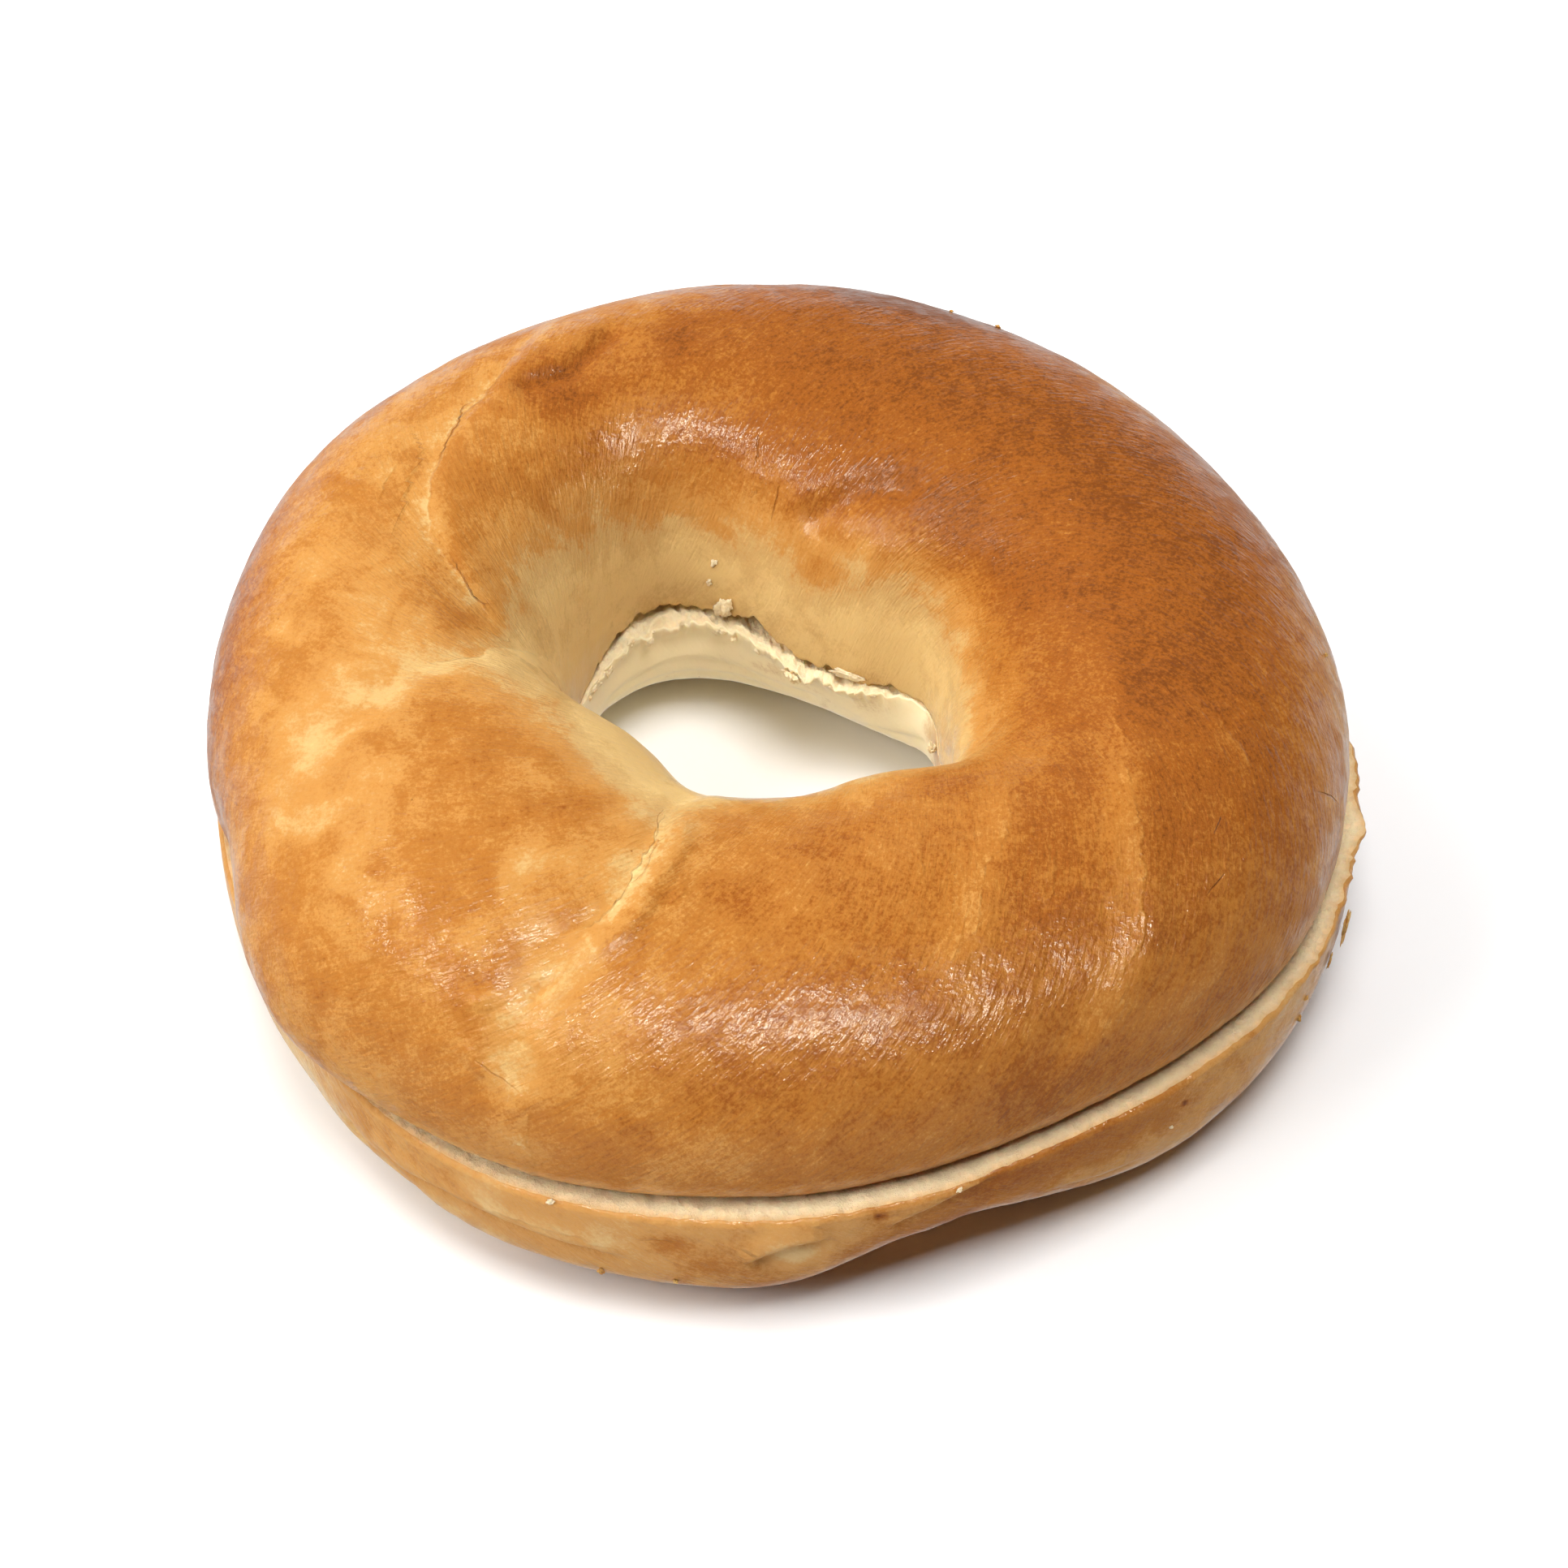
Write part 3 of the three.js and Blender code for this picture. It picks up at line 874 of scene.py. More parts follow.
    def cut_face(self, crust: Crust) -> tuple[np.ndarray, np.ndarray]:
        """Lays the crumb of the cut between the two rims, a little below the crust's edges.

        Args:
            crust: The finished crust.

        Returns:
            The points by column and row, and how far each lies from the outer crust.
        """
        share = self.spread(self.face_rows, self.face_crowding)[None, 1:-1, None]
        first, last = crust.points[:, :1], crust.points[:, -1:]
        points = first + (last - first) * share
        span = np.linalg.norm(last - first, axis=-1)
        from_crust = share[..., 0] * span
        apart = np.minimum(from_crust, span - from_crust)
        flat = points * np.array([1, 1, 0])
        near_hole = bell((1 - share[..., 0]) * span, self.torn_width)
        torn_lips = self.torn_relief * torn(crust.angles, self.lips)[:, None]
        loose = self.crumb_relief + torn_lips * near_hole
        relief = (0.3 + rough(flat, *LOOSE_CRUMB)) * loose * fade(apart, 0, self.calm_rim)
        grain = self.grain_relief * rough(flat, *CRUMB_GRAIN)
        relief += grain * np.exp(-apart / self.grain_width) * fade(apart, 0, 0.5)
        shrunk = self.crumb_shrink * (1 - np.exp(-apart / self.shrink_width))
        points[..., 2] += self.looks.value * (relief - shrunk)
        return points, from_crust

    def lay(self, piece: bpy.types.Object, crust: Crust) -> np.ndarray:
        """Draws the ring's vertices out to the dough, and gives each its fields.

        Args:
            piece: The rough ring.
            crust: The finished crust.

        Returns:
            Whether each vertex belongs to the crust.
        """
        mesh = piece.data
        flat = np.empty(len(mesh.vertices) * 3)
        mesh.vertices.foreach_get("co", flat)
        x, y, z = flat.reshape(-1, 3).T / MM
        turn = np.degrees(np.arctan2(y, x)) % 360 / 360
        column = np.rint(turn * self.columns).astype(int) % self.columns
        reach = np.hypot(x, y) - self.ring_radius
        row = np.rint(np.arctan2(np.abs(z), reach) / math.pi * self.crust_rows).astype(int)
        crusty = (np.abs(z) > 1e-3) | (np.abs(np.abs(reach) - self.dough_radius) < 1e-3)
        inward = (self.dough_radius - reach) / (2 * self.dough_radius)
        face_row = np.rint(inward * self.face_rows).astype(int)
        face_row = np.clip(face_row - 1, 0, self.face_rows - 2)
        face, apart = self.cut_face(crust)
        place = np.where(crusty[:, None], crust.points[column, row], face[column, face_row])
        mesh.vertices.foreach_set("co", (place * MM).ravel())

        down = crust.down()
        twisted = np.radians(crust.angles)[:, None] - self.twist * crust.across
        ring = (SKIN_RADIUS * np.cos(twisted), SKIN_RADIUS * np.sin(twisted), down)
        rind = np.where((crust.across > 0.5)[row], FAR_FROM_CRUST, -down[column, row])
        fields = {
            "browning_and_painted_light": np.where(crusty, crust.tone[column, row], 0.0),
            "rind": np.where(crusty, rind, apart[column, face_row]),
        }
        for titles, lines in (
            (("crack", "crack_strength"), self.cracks),
            (("stretch", "stretch_strength", "stretch_lift"), self.stretches),
        ):
            fields |= {title: values[column, row] for title, values in zip(titles, crust.lines(lines))}
        for title, values in fields.items():
            layer = mesh.attributes.new(title, "FLOAT", "POINT")
            layer.data.foreach_set("value", values.astype(np.float32))
        layer = mesh.attributes.new("skin", "FLOAT_VECTOR", "POINT")
        skin = np.stack(ring, axis=-1)[column, row]
        layer.data.foreach_set("vector", skin.astype(np.float32).ravel())
        mesh.update()
        return crusty

    def build(self) -> tuple[bpy.types.Object, Crust]:
        """Makes the half.

        Returns:
            The piece, and its crust for whatever clings to it.
        """
        piece, crust = self.rough_ring(), self.shape()
        crusty = self.lay(piece, crust)
        mesh = piece.data
        for finish in (self.crust_finish, CrumbFinish(f"{self.name}_crumb")):
            mesh.materials.append(finish.make())
        corners = np.empty(len(mesh.loops), np.int32)
        mesh.loops.foreach_get("vertex_index", corners)
        inner = ~crusty[corners.reshape(-1, 4)]
        mesh.polygons.foreach_set("material_index", inner.any(axis=1).astype(np.int32))
        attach(piece, "root")
        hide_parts(self.node)
        return piece, crust


@dataclass
class TopHalf(DoughHalf):
    """The domed half, whose outer edge tucks in above the cut."""

    roundness: float = 2.15
    belly: float = 4.5
    tuck: float = 11.0
    inner_lift: float = 0.3  # height of the rim inside the hole above the cut
    tear_lift: float = 1.0

    def bake(self, crust: Crust) -> None:
        """Browns the top, most at the back right, tones its outer edge by angle with painted sheen paling
        it at the right, and leaves the wall of the hole cream.

        Args:
            crust: The bare crust.
        """
        across = crust.across[None, :]
        browned = 1 - fade(across - around(CREAM_FROM, crust.angles)[:, None], 0.0, 0.26)
        crust.tone += around(CROWN_BROWNING, crust.angles)[:, None] * browned
        # Painted sheen: this edge tone pales the right edge round 0°.
        crust.tone += around(CROWN_EDGE_TONE_AND_PAINTED_SHEEN, crust.angles)[:, None] * (1 - fade(across, 0.1, 0.4))
        crust.tone -= 0.12 * (1 - fade(across, 0.0, 0.04))
        crust.tone += 0.07 * fade(across, 0.6, 0.8)

    def section(self, angles: np.ndarray, share: np.ndarray) -> tuple[np.ndarray, np.ndarray]:
        """Section of the dome, from the outer edge of the cut over the top to the hole.

        Args:
            angles: Angles round the ring, as a column.
            share: Places along the section by turn, as a row.

        Returns:
            Radius and height, in millimetres.
        """
        outer, inner = around(CROWN_RADIUS, angles), around(HOLE_RADIUS, angles)
        start = -math.asin((self.belly / self.tuck) ** (self.roundness / 2))
        turn = start + (math.pi - start) * share
        rise = bent(np.sin(turn), self.roundness)
        belly = around(CUT_HEIGHT_OUTSIDE, angles) + HALF_GAP + self.belly
        widest = np.where(np.cos(turn) > 0, belly, CUT_HEIGHT_IN_HOLE + self.inner_lift)
        top = around(CROWN_TOP, angles)
        height = np.where(rise >= 0, widest + (top - widest) * rise, widest + self.tuck * rise)
        reach = bent(np.cos(turn), self.roundness)
        return (outer + inner) / 2 + (outer - inner) / 2 * reach, height


@dataclass
class BottomHalf(DoughHalf):
    """The lower half, pressed flat where it lay."""

    hole_fullness: float = 2.4
    crush: float = 0.6
    ledge_start: float = 8.0
    ledge_power: float = 1.5

    def bake(self, crust: Crust) -> None:
        """Browns the outside a little, most at the right, and leaves the hole's wall cream.

        Args:
            crust: The bare crust.
        """
        across = crust.across[None, :]
        crust.tone += around(HEEL_BROWNING, crust.angles)[:, None]
        crust.tone += around(HEEL_FOOT, crust.angles)[:, None] * fade(across, 0.05, 0.12)
        crust.tone -= 0.5 * fade(across, 0.55, 0.75)

    def section(self, angles: np.ndarray, share: np.ndarray) -> tuple[np.ndarray, np.ndarray]:
        """Section of the lower crust, from the outer edge of the cut round the base to the hole.

        Args:
            angles: Angles round the ring, as a column.
            share: Places along the section by turn, as a row.

        Returns:
            Radius and height, in millimetres.
        """
        outer, inner = around(HEEL_RADIUS, angles), around(HEEL_WALL_RADIUS, angles)
        cosine = np.cos(math.pi * share) + 0 * angles
        sine = np.sin(math.pi * share) + 0 * angles
        outside = cosine > 0
        power = np.where(outside, around(HEEL_FULLNESS, angles), self.hole_fullness)
        cut = np.where(outside, around(CUT_HEIGHT_OUTSIDE, angles), CUT_HEIGHT_IN_HOLE)
        edge = cut - HALF_GAP
        height = np.maximum(edge - (edge + self.crush) * bent(sine, power), 0)
        lean = np.clip((height - self.ledge_start) / (edge - self.ledge_start), 0, 1)
        ledge = (around(HOLE_RADIUS, angles) - inner) * lean**self.ledge_power
        middle, half = (outer + inner) / 2, (outer - inner) / 2
        return middle + half * bent(cosine, power) + np.where(outside, 0, ledge), height


# ---- What the crusts carry: paths that a crease shares with its lip come first ----
FLAP_BY_THE_SEAM = ((246.6, 0.05), (245.8, 0.112), (245.4, 0.175))
FRONT_LEFT_WRINKLE = ((227, 0.085), (232, 0.1), (236, 0.09), (240.8, 0.091), (244.7, 0.095), (250, 0.1),
    (256, 0.11))
NOTCH_LIP = ((266.5, 0.1), (268.2, 0.08), (270.6, 0.061), (274, 0.055))
SLANTING_CREASE = ((279.5, 0.06), (281.9, 0.045), (285.3, 0.03), (288.1, 0.02), (291, 0.008))
FRONT_RIGHT_FLAP = ((295, 0.125), (298.6, 0.135), (303.5, 0.15), (308, 0.15))
CROWN_SEAMS = (
    Crease("overlap of the dough's end", ((118, 0.33), (126, 0.41), (134, 0.465), (145, 0.493),
        (157, 0.535), (168, 0.615), (173, 0.665), (177, 0.72)), depth=0.25, width=0.9, step=0.5, reach=6,
        tone=-0.06, tone_width=1.6),
    Crease("edge of the left lobe", ((167, 0.86), (173, 0.81), (180, 0.73), (185, 0.667), (189, 0.625),
        (192, 0.56), (194, 0.5), (199, 0.42), (202, 0.25)), depth=0.3, width=1.6, step=0.4, reach=6,
        tone=-0.08, tone_width=2.4),
    Crease("front seam", ((244, 0.8), (245.2, 0.669), (246.4, 0.57), (246.6, 0.471), (245.6, 0.428),
        (242.7, 0.398)), depth=0.5, width=1.3, step=0.5, reach=5, tone=-0.08, tone_width=2.4),
    Crease("valley below the front seam", ((244, 0.42), (241.3, 0.34), (241.3, 0.284), (242.3, 0.22),
        (245, 0.16)), depth=0.7, width=2.8, tone=-0.12, tone_width=3.4),
    Crease("skin flap at the seam's foot", FLAP_BY_THE_SEAM, width=0.7, step=0.2, reach=3),
    Crease("wrinkle on the left lobe's foot", ((237.6, 0.21), (240.5, 0.185), (244.5, 0.17)), depth=-0.3,
        width=0.7, step=0.2, reach=2),
    # The positive tones of the next three creases are painted shade in their grooves.
    Crease("crease by the seam's foot", ((244.2, 0.335), (243.3, 0.325), (242.6, 0.308), (241.9, 0.297)),
        depth=0.5, width=0.5, step=0.3, reach=2, tone=0.12, tone_width=0.5),
    Crease("dimple behind the hole", ((86.3, 0.78), (79.5, 0.743), (70, 0.7), (62, 0.676), (55, 0.665)),
        depth=0.55, width=1.5, step=0.5, reach=4, tone=0.05, tone_width=1.2),
    Crease("dent at the back", ((132, 0.485), (128.2, 0.5), (123.2, 0.505), (119.2, 0.486), (115.8, 0.458),
        (113, 0.43)), depth=0.8, width=1.0, step=0.5, reach=4, tone=0.2, tone_width=1.1),
    Crease("main swirl", ((357, 0.616), (342.5, 0.567), (333, 0.516), (321.7, 0.42), (312, 0.267),
        (302.6, 0.165), (296, 0.1)), depth=-0.3, width=1.8, step=0.3, reach=5, tone=-0.06, tone_width=2.2,
        side_tone=0.05, side_reach=4),
    Crease("inner swirl", ((316, 0.608), (304.7, 0.474), (294.9, 0.375), (288, 0.316)), depth=-0.2,
        width=1.6, step=0.15, reach=5, tone=-0.06, tone_width=2.0, side_tone=0.04, side_reach=4),
)
# A patch's numbers are its size, tone, stretch and turn
CROWN_SWELLINGS = (
    Patch("left lobe", (222, 0.5), 15, height=1.0),
    Patch("overhang of the left lobe", (217, 0.08), 11, height=2.0),
    Patch("tuck at the left edge", (197, 0.05), 6, height=-1.5),
    Patch("front lobe", (272, 0.5), 16, height=0.7),
    Patch("knob behind the hole", (62, 0.78), 5, height=0.9),
    Patch("right corner of the hole", (341, 0.86), 4, height=1.0),
    Patch("sink beside the front seam", (243, 0.36), 5, height=-0.6),
)
CROWN_PATCHES = (
    Patch("dark spot at the back left", (127, 0.56), 2.7, 0.26, 1.2, height=-0.1),
    Patch("haze round the dark spot", (125, 0.53), 6, 0.06, 1.3),
    Patch("browned mark at the back", (106, 0.47), 1.8, 0.2, 1.5, 60, height=-0.1),
    Patch("browned back edge", (87, 0.38), 6, 0.05, 2.2),
    Patch("browned back corner", (76, 0.27), 4.5, 0.4, 1.6),
    Patch("gold at the back right edge", (46, 0.25), 4, -0.26, 1.6),
    Patch("gold at the back left edge", (136, 0.26), 4, 0.13, 1.6),
    # Painted reflection: the back edge is paled for the white grazing sheen along it.
    Patch("pale back edge", (113, 0.35), 4, -0.18, 1.8),
    Patch("gold at the left edge", (167, 0.19), 3.5, 0.1, 1.6),
    Patch("brown behind the dent", (105, 0.54), 4, 0.07, 1.4),
    Patch("gold at the foot of the seam", (239, 0.36), 3.5, 0.08, 1.4),
    Patch("brown inside the front", (285, 0.73), 3, 0.1, 1.6),
    Patch("brown back", (75, 0.51), 6, 0.06, 2.2),
    Patch("dark back right", (53, 0.47), 7, 0.03, 2),
    Patch("brown outer right", (23, 0.44), 9, 0.07, 1.8),
    Patch("brown right shoulder", (345, 0.43), 7, 0.03, 1.8),
    Patch("brown beside the main swirl", (343, 0.53), 2.6, 0.05, 2.6, -30),
    Patch("golden inside right", (345, 0.73), 5, -0.13, 2.4),
    Patch("pale corner of the hole", (341, 0.83), 3, -0.14, 1.5),
    Patch("pale behind the hole", (38, 0.84), 5.5, -0.13, 1.7),
    Patch("brown side of the knob", (80, 0.85), 2.6, 0.17, 1.2),
    Patch("pale wall at the left", (127, 0.86), 6, -0.05, 1.5),
    Patch("brown top left of the hole", (145, 0.65), 6, 0.05, 1.6),
    Patch("pale left shoulder", (181, 0.46), 9, -0.14, 1.5),
    Patch("gold at the upper left", (157, 0.34), 5, 0.06, 1.6),
    Patch("pale upper left", (138, 0.36), 5, -0.08, 1.6),
    Patch("amber beside the overlap", (177, 0.67), 3.6, 0.17, 1.5),
    Patch("amber tongue", (168, 0.59), 2.8, 0.12, 1.4),
    Patch("amber fleck", (177, 0.43), 2.2, 0.11, 1.4),
    Patch("amber fleck below", (184, 0.41), 2.5, 0.13, 1.5, 90),
    Patch("pale streak at the left", (182, 0.35), 2.6, -0.08, 2.2, 90),
    Patch("brown far left", (176, 0.27), 4.5, 0.1, 2.2),
    Patch("pale valley above the left lobe", (197, 0.52), 3.2, -0.12, 2.4, 90),
    Patch("pale lower left", (203, 0.31), 6, -0.13, 1.6),
    Patch("brown heart of the left lobe", (219, 0.49), 6.5, 0.11, 1.5),
    # Painted light: this part of the hole's wall is paled to look lit where it falls in shade.
    Patch("pale wall above the left lobe", (152, 0.93), 6, -0.12),
    Patch("amber top of the left lobe", (200, 0.49), 4, 0.13, 1.4, 90),
    Patch("amber streak on the left lobe", (232, 0.57), 1.9, 0.13, 2.2, 60),
    Patch("pale edge of the hole", (226, 0.70), 5, -0.14, 1.5),
    Patch("pale beside the front seam", (242, 0.58), 4, -0.1, 1.5),
    Patch("pale blister", (234, 0.46), 1.5, -0.2, 1.9, 60, height=0.12),
    Patch("pale blister at the left", (199, 0.36), 1.8, -0.15, 1.2, height=0.12),
    Patch("reddish fleck", (219, 0.32), 1.2, 0.15, 1.3, height=0.1),
    Patch("reddish fleck above", (213, 0.30), 1, 0.13, 1.3),
    Patch("gold low on the left", (226, 0.18), 7, 0.13, 1.6),
    Patch("brown beside the wrinkles", (238, 0.29), 2.4, 0.16, 1.6, 60),
    Patch("brown low on the left lobe", (238, 0.15), 4, 0.1, 2.2),
    Patch("pale foot of the front seam", (244, 0.22), 2.8, -0.1, 1.5, 90),
    Patch("pale head of the front seam", (244, 0.37), 3.2, -0.08, 1.7, 90),
    Patch("pale fold of the front seam", (246, 0.52), 2.2, -0.1, 2, 90),
    # Painted highlight in part: the blister and the hollow below are paled so that the gloss over them
    # reads as a bright highlight.
    Patch("wet blister by the seam", (241.7, 0.340), 1.9, -0.16, 1.3, height=0.35),
    Patch("pale hollow by the seam", (241, 0.28), 3.0, -0.05, 1.5, 80),
    Patch("first wrinkle by the seam", (238.0, 0.310), 0.9, stretch=1.7, turn=70, height=0.3),
    Patch("second wrinkle by the seam", (238.7, 0.284), 0.8, -0.16, 1.8, 50, height=0.3),
    Patch("third wrinkle by the seam", (237.3, 0.272), 1.0, -0.12, 1.3, height=0.3),
    Patch("fourth wrinkle by the seam", (240.7, 0.274), 1.1, -0.1, 1.4, 80, height=0.25),
    Patch("brown hollow by the seam", (236.8, 0.29), 1.0, 0.12, 1.5, 40, height=-0.25),
    Patch("dimple at the front seam", (243, 0.47), 1, 0.1, 1.2, height=-0.15),
    Patch("dimple on the front lobe", (252, 0.48), 1.1, 0.17, 1.2, height=-0.2),
    Patch("brown dimples", (261, 0.49), 2, 0.15, 1.6, height=-0.12),
    Patch("brown on the front lobe", (274, 0.33), 4.5, 0.08, 2),
    Patch("brown under the highlight", (263, 0.22), 4, 0.1, 2.6),
    Patch("brown low on the front", (253, 0.14), 3.5, 0.07, 2.2),
    Patch("pale low on the front", (272, 0.09), 3.5, -0.06, 3),
    Patch("pale at the front right", (295, 0.56), 4, -0.04, 1.6, 90),
    Patch("brown between the swirls", (304, 0.40), 3.5, 0.08, 2, 90),
    Patch("brown low at the right", (295, 0.14), 3.4, 0.06, 1.7),
    Patch("pale inside the front right", (322, 0.62), 3.5, -0.09, 2.2),
    Patch("brown outer side", (336, 0.27), 5, 0.04, 2),
)
CROWN_STRETCHES = (
    Hairline("overlap's edge", ((177, 0.70), (174, 0.676), (171, 0.646), (168, 0.615), (164.6, 0.581),
        (161, 0.554), (157, 0.535), (152.7, 0.519), (149, 0.513), (145.5, 0.494), (141.6, 0.479),
        (137, 0.476), (132, 0.456), (128.7, 0.432), (124, 0.382)), 0.3, lift=-0.35, taper=0.15),
    Hairline("short fold at the left", ((161, 0.465), (155, 0.455), (151, 0.45)), 0.3, 0.8, lift=0.3),
    Hairline("top of the left lobe", ((164, 0.89), (173, 0.813), (180, 0.73), (184, 0.669), (188.6, 0.634),
        (191.3, 0.563), (192.4, 0.50)), 0.4, 0.9, lift=0.4),
    Hairline("main swirl", ((303, 0.174), (306, 0.215), (309.6, 0.25), (312.3, 0.275), (315, 0.324),
        (319.7, 0.388), (325, 0.456), (334, 0.528), (343, 0.577), (355, 0.607)), 0.5, lift=0.14),
    Hairline("inner swirl", ((287, 0.312), (291, 0.344), (295, 0.382), (299, 0.435), (306, 0.49),
        (310.5, 0.541), (320, 0.652)), 0.5, 0.9, lift=0.14),
    Hairline("third swirl", ((303, 0.362), (305.6, 0.378), (310, 0.436)), 0.5, 0.8, lift=0.12),
    Hairline("fourth swirl", ((318, 0.497), (320.5, 0.52), (323, 0.545)), 0.5, 0.7, lift=0.12),
    Hairline("outer swirl", ((334, 0.302), (339, 0.35), (342, 0.396), (343, 0.432)), 0.5, 0.9, lift=0.12),
    Hairline("low swirl", ((309.5, 0.16), (314, 0.139), (318, 0.155), (321, 0.189)), 0.5, 0.6, lift=0.1),
    Hairline("arc on the front lobe", ((289.5, 0.44), (291, 0.468), (292.7, 0.525), (296, 0.58)), 0.6, 0.7,
        lift=0.2),
    Hairline("front seam", ((245.2, 0.69), (244.9, 0.637), (246.4, 0.57), (246.8, 0.523), (246.6, 0.471),
        (245.6, 0.428), (242.7, 0.398), (240.5, 0.36)), 0.5, 1.5, lift=0.5, taper=0.3),
    Hairline("skin flap at the seam's foot", FLAP_BY_THE_SEAM, 0.5, 0.7, lift=0.12),
    Hairline("low strokes at the right", ((287, 0.09), (291, 0.16), (295, 0.20)), 0.6, 0.5, lift=0.1),
)
# Cracks, each darkened along its line as painted shade.
CROWN_CRACKS = (
    Hairline("crack of the overlap", ((135, 0.46), (139, 0.47), (143, 0.49), (147, 0.50), (150, 0.52)),
        0.4),
    Hairline("crack below the overlap", ((165, 0.60), (169, 0.63), (172, 0.66), (172, 0.69)), 0.3),
    Hairline("crack at the back", ((96, 0.65), (97, 0.68), (98, 0.71)), 0.3),
    Hairline("crack behind the knob", ((92, 0.72), (93, 0.75), (95, 0.79)), 0.2),
    Hairline("crack of the front seam", ((245, 0.67), (244, 0.64), (247, 0.57), (248, 0.51), (247, 0.49),
        (247, 0.45)), 0.35, 0.4),
    Hairline("crease at the left lobe's foot", ((239, 0.20), (241, 0.19), (245, 0.17)), 0.2, 0.5),
    Hairline("crack on the back edge", ((83, 0.41), (76, 0.39), (69, 0.29)), 0.3),
    Hairline("crack at the right edge", ((28, 0.25), (21, 0.23), (13, 0.22)), 0.2),
    Hairline("scratch at the right", ((330, 0.34), (327, 0.33)), 0.1),
    Hairline("scratch below it", ((325, 0.28), (321, 0.27)), 0.1),
    Hairline("crack far right", ((342, 0.22), (344, 0.18), (345, 0.14)), 0.2),
)
HEEL_SEAMS = (
    Crease("fold under the front", ((262, 0.45), (271, 0.33), (279, 0.24), (290, 0.17)), depth=1.3,
        width=1.8, step=1.6, reach=7),
    # The positive tones of the next three creases are painted shade in their grooves.
    Crease("crease at the front left", ((222, 0.1), (232, 0.16), (244, 0.24), (256, 0.28)), depth=1.0,
        width=1.3, step=0.6, reach=4, tone=0.1, tone_width=1.2),
    Crease("wrinkle at the front left", FRONT_LEFT_WRINKLE, depth=0.5, width=0.7, step=0.7, reach=2.5,
        tone=0.12, tone_width=0.6, side_tone=-0.05, side_reach=3),
    Crease("lip over the yellow notch", NOTCH_LIP, depth=0.8, width=0.6, step=1.4, reach=2.2, tone=0.1,
        tone_width=0.4),
    Crease("slanting crease", SLANTING_CREASE, depth=0.4, width=0.6, step=0.6, reach=3, side_tone=-0.05,
        side_reach=3),
    Crease("flap at the front right", FRONT_RIGHT_FLAP, depth=0.4, width=0.5, step=0.5, reach=2),
    Crease("upper wrinkle in the hole", ((150, 0.9), (132, 0.885), (112, 0.89), (92, 0.885), (76, 0.9)),
        depth=0.25, width=0.7, step=0.25, reach=2),
    Crease("lower wrinkle in the hole", ((146, 0.84), (124, 0.83), (100, 0.84), (84, 0.83)), depth=0.3,
        width=0.8, step=0.25, reach=2),
    Crease("wrinkle in the hole's right corner", ((58, 0.86), (46, 0.87), (34, 0.9), (24, 0.93)), depth=0.3,
        width=0.7, step=0.3, reach=2),
    Crease("second wrinkle in that corner", ((50, 0.82), (40, 0.83), (28, 0.87)), depth=0.3, width=0.6,
        step=0.3, reach=2),
)
HEEL_SWELLINGS = (
    Patch("hollow beside the fold", (283, 0.28), 8.5, height=-5.5),
    Patch("front right foot", (312, 0.3), 10, height=1.2),
    Patch("bulge of the front foot", (264, 0.24), 9, height=0.6),
)
HEEL_PATCHES = (
    Patch("orange spot", (259, 0.053), 1.4, 0.16, 1.4, height=-0.1),
    Patch("amber below the orange spot", (263, 0.08), 2.6, 0.08, 1.6),
    Patch("amber at the front left", (233, 0.045), 3.5, 0.12, 2.2),
    Patch("pale belly at the left", (247, 0.07), 3.5, -0.05, 3),
    Patch("pale belly", (276, 0.045), 3.5, -0.06, 2),
    Patch("pale foot", (272, 0.12), 3, -0.05, 2.5),
    Patch("brown speck under the rim", (278.6, 0.017), 0.45, 0.7, height=-0.1),
    Patch("yellow notch", (270.2, 0.088), 1.5, -0.24, 1.5),
    Patch("golden below the slanting crease", (290.5, 0.04), 2.6, 0.16, 2),
    Patch("golden side at the right", (302, 0.03), 3.2, 0.14, 3),
    Patch("brown beside the fold", (285, 0.13), 3.5, 0.2, 1.6),
    Patch("dark speck at the right", (312.7, 0.051), 0.28, 0.9),
)
HEEL_STRETCHES = (
    Hairline("wrinkle at the front left", FRONT_LEFT_WRINKLE, 0.4, 0.8, lift=0.6),
    Hairline("soft fold above it", ((236, 0.06), (243, 0.065), (250, 0.07), (258, 0.085)), 0.6, 0.5,
        lift=0.3),
    Hairline("lip over the yellow notch", NOTCH_LIP, 0.3, 0.8, lift=0.9),
    Hairline("slanting crease", SLANTING_CREASE, 0.35, 0.8, lift=0.8),
    Hairline("flap at the front right", FRONT_RIGHT_FLAP, 0.35, 0.8, lift=0.9),
)
# Cracks, each darkened along its line as painted shade.
HEEL_CRACKS = (
    Hairline("crack of the wrinkle", ((229, 0.091), (232, 0.1), (236, 0.092), (240.8, 0.093)), 0.4, 0.6),
    Hairline("crack under the slanting crease", ((279.5, 0.062), (281.9, 0.047), (285.3, 0.032),
        (288.1, 0.022)), 0.35, 0.5),
    Hairline("crack of the flap", ((298.6, 0.137), (303.5, 0.152), (308, 0.152)), 0.35, 0.8),
    Hairline("short crack", ((255, 0.05), (258, 0.052), (260, 0.048)), 0.5, 0.4),
)


@dataclass(frozen=True)
class Crumb:
    """A loose crumb or flake that clings to the crust or to the cut's rim."""

    half: str
    at: Place
    size: float
    long: float = 1.0
    flat: float = 0.7
    turn: float = 0.0
    proud: float = 0.4
    seed: float = 0.0


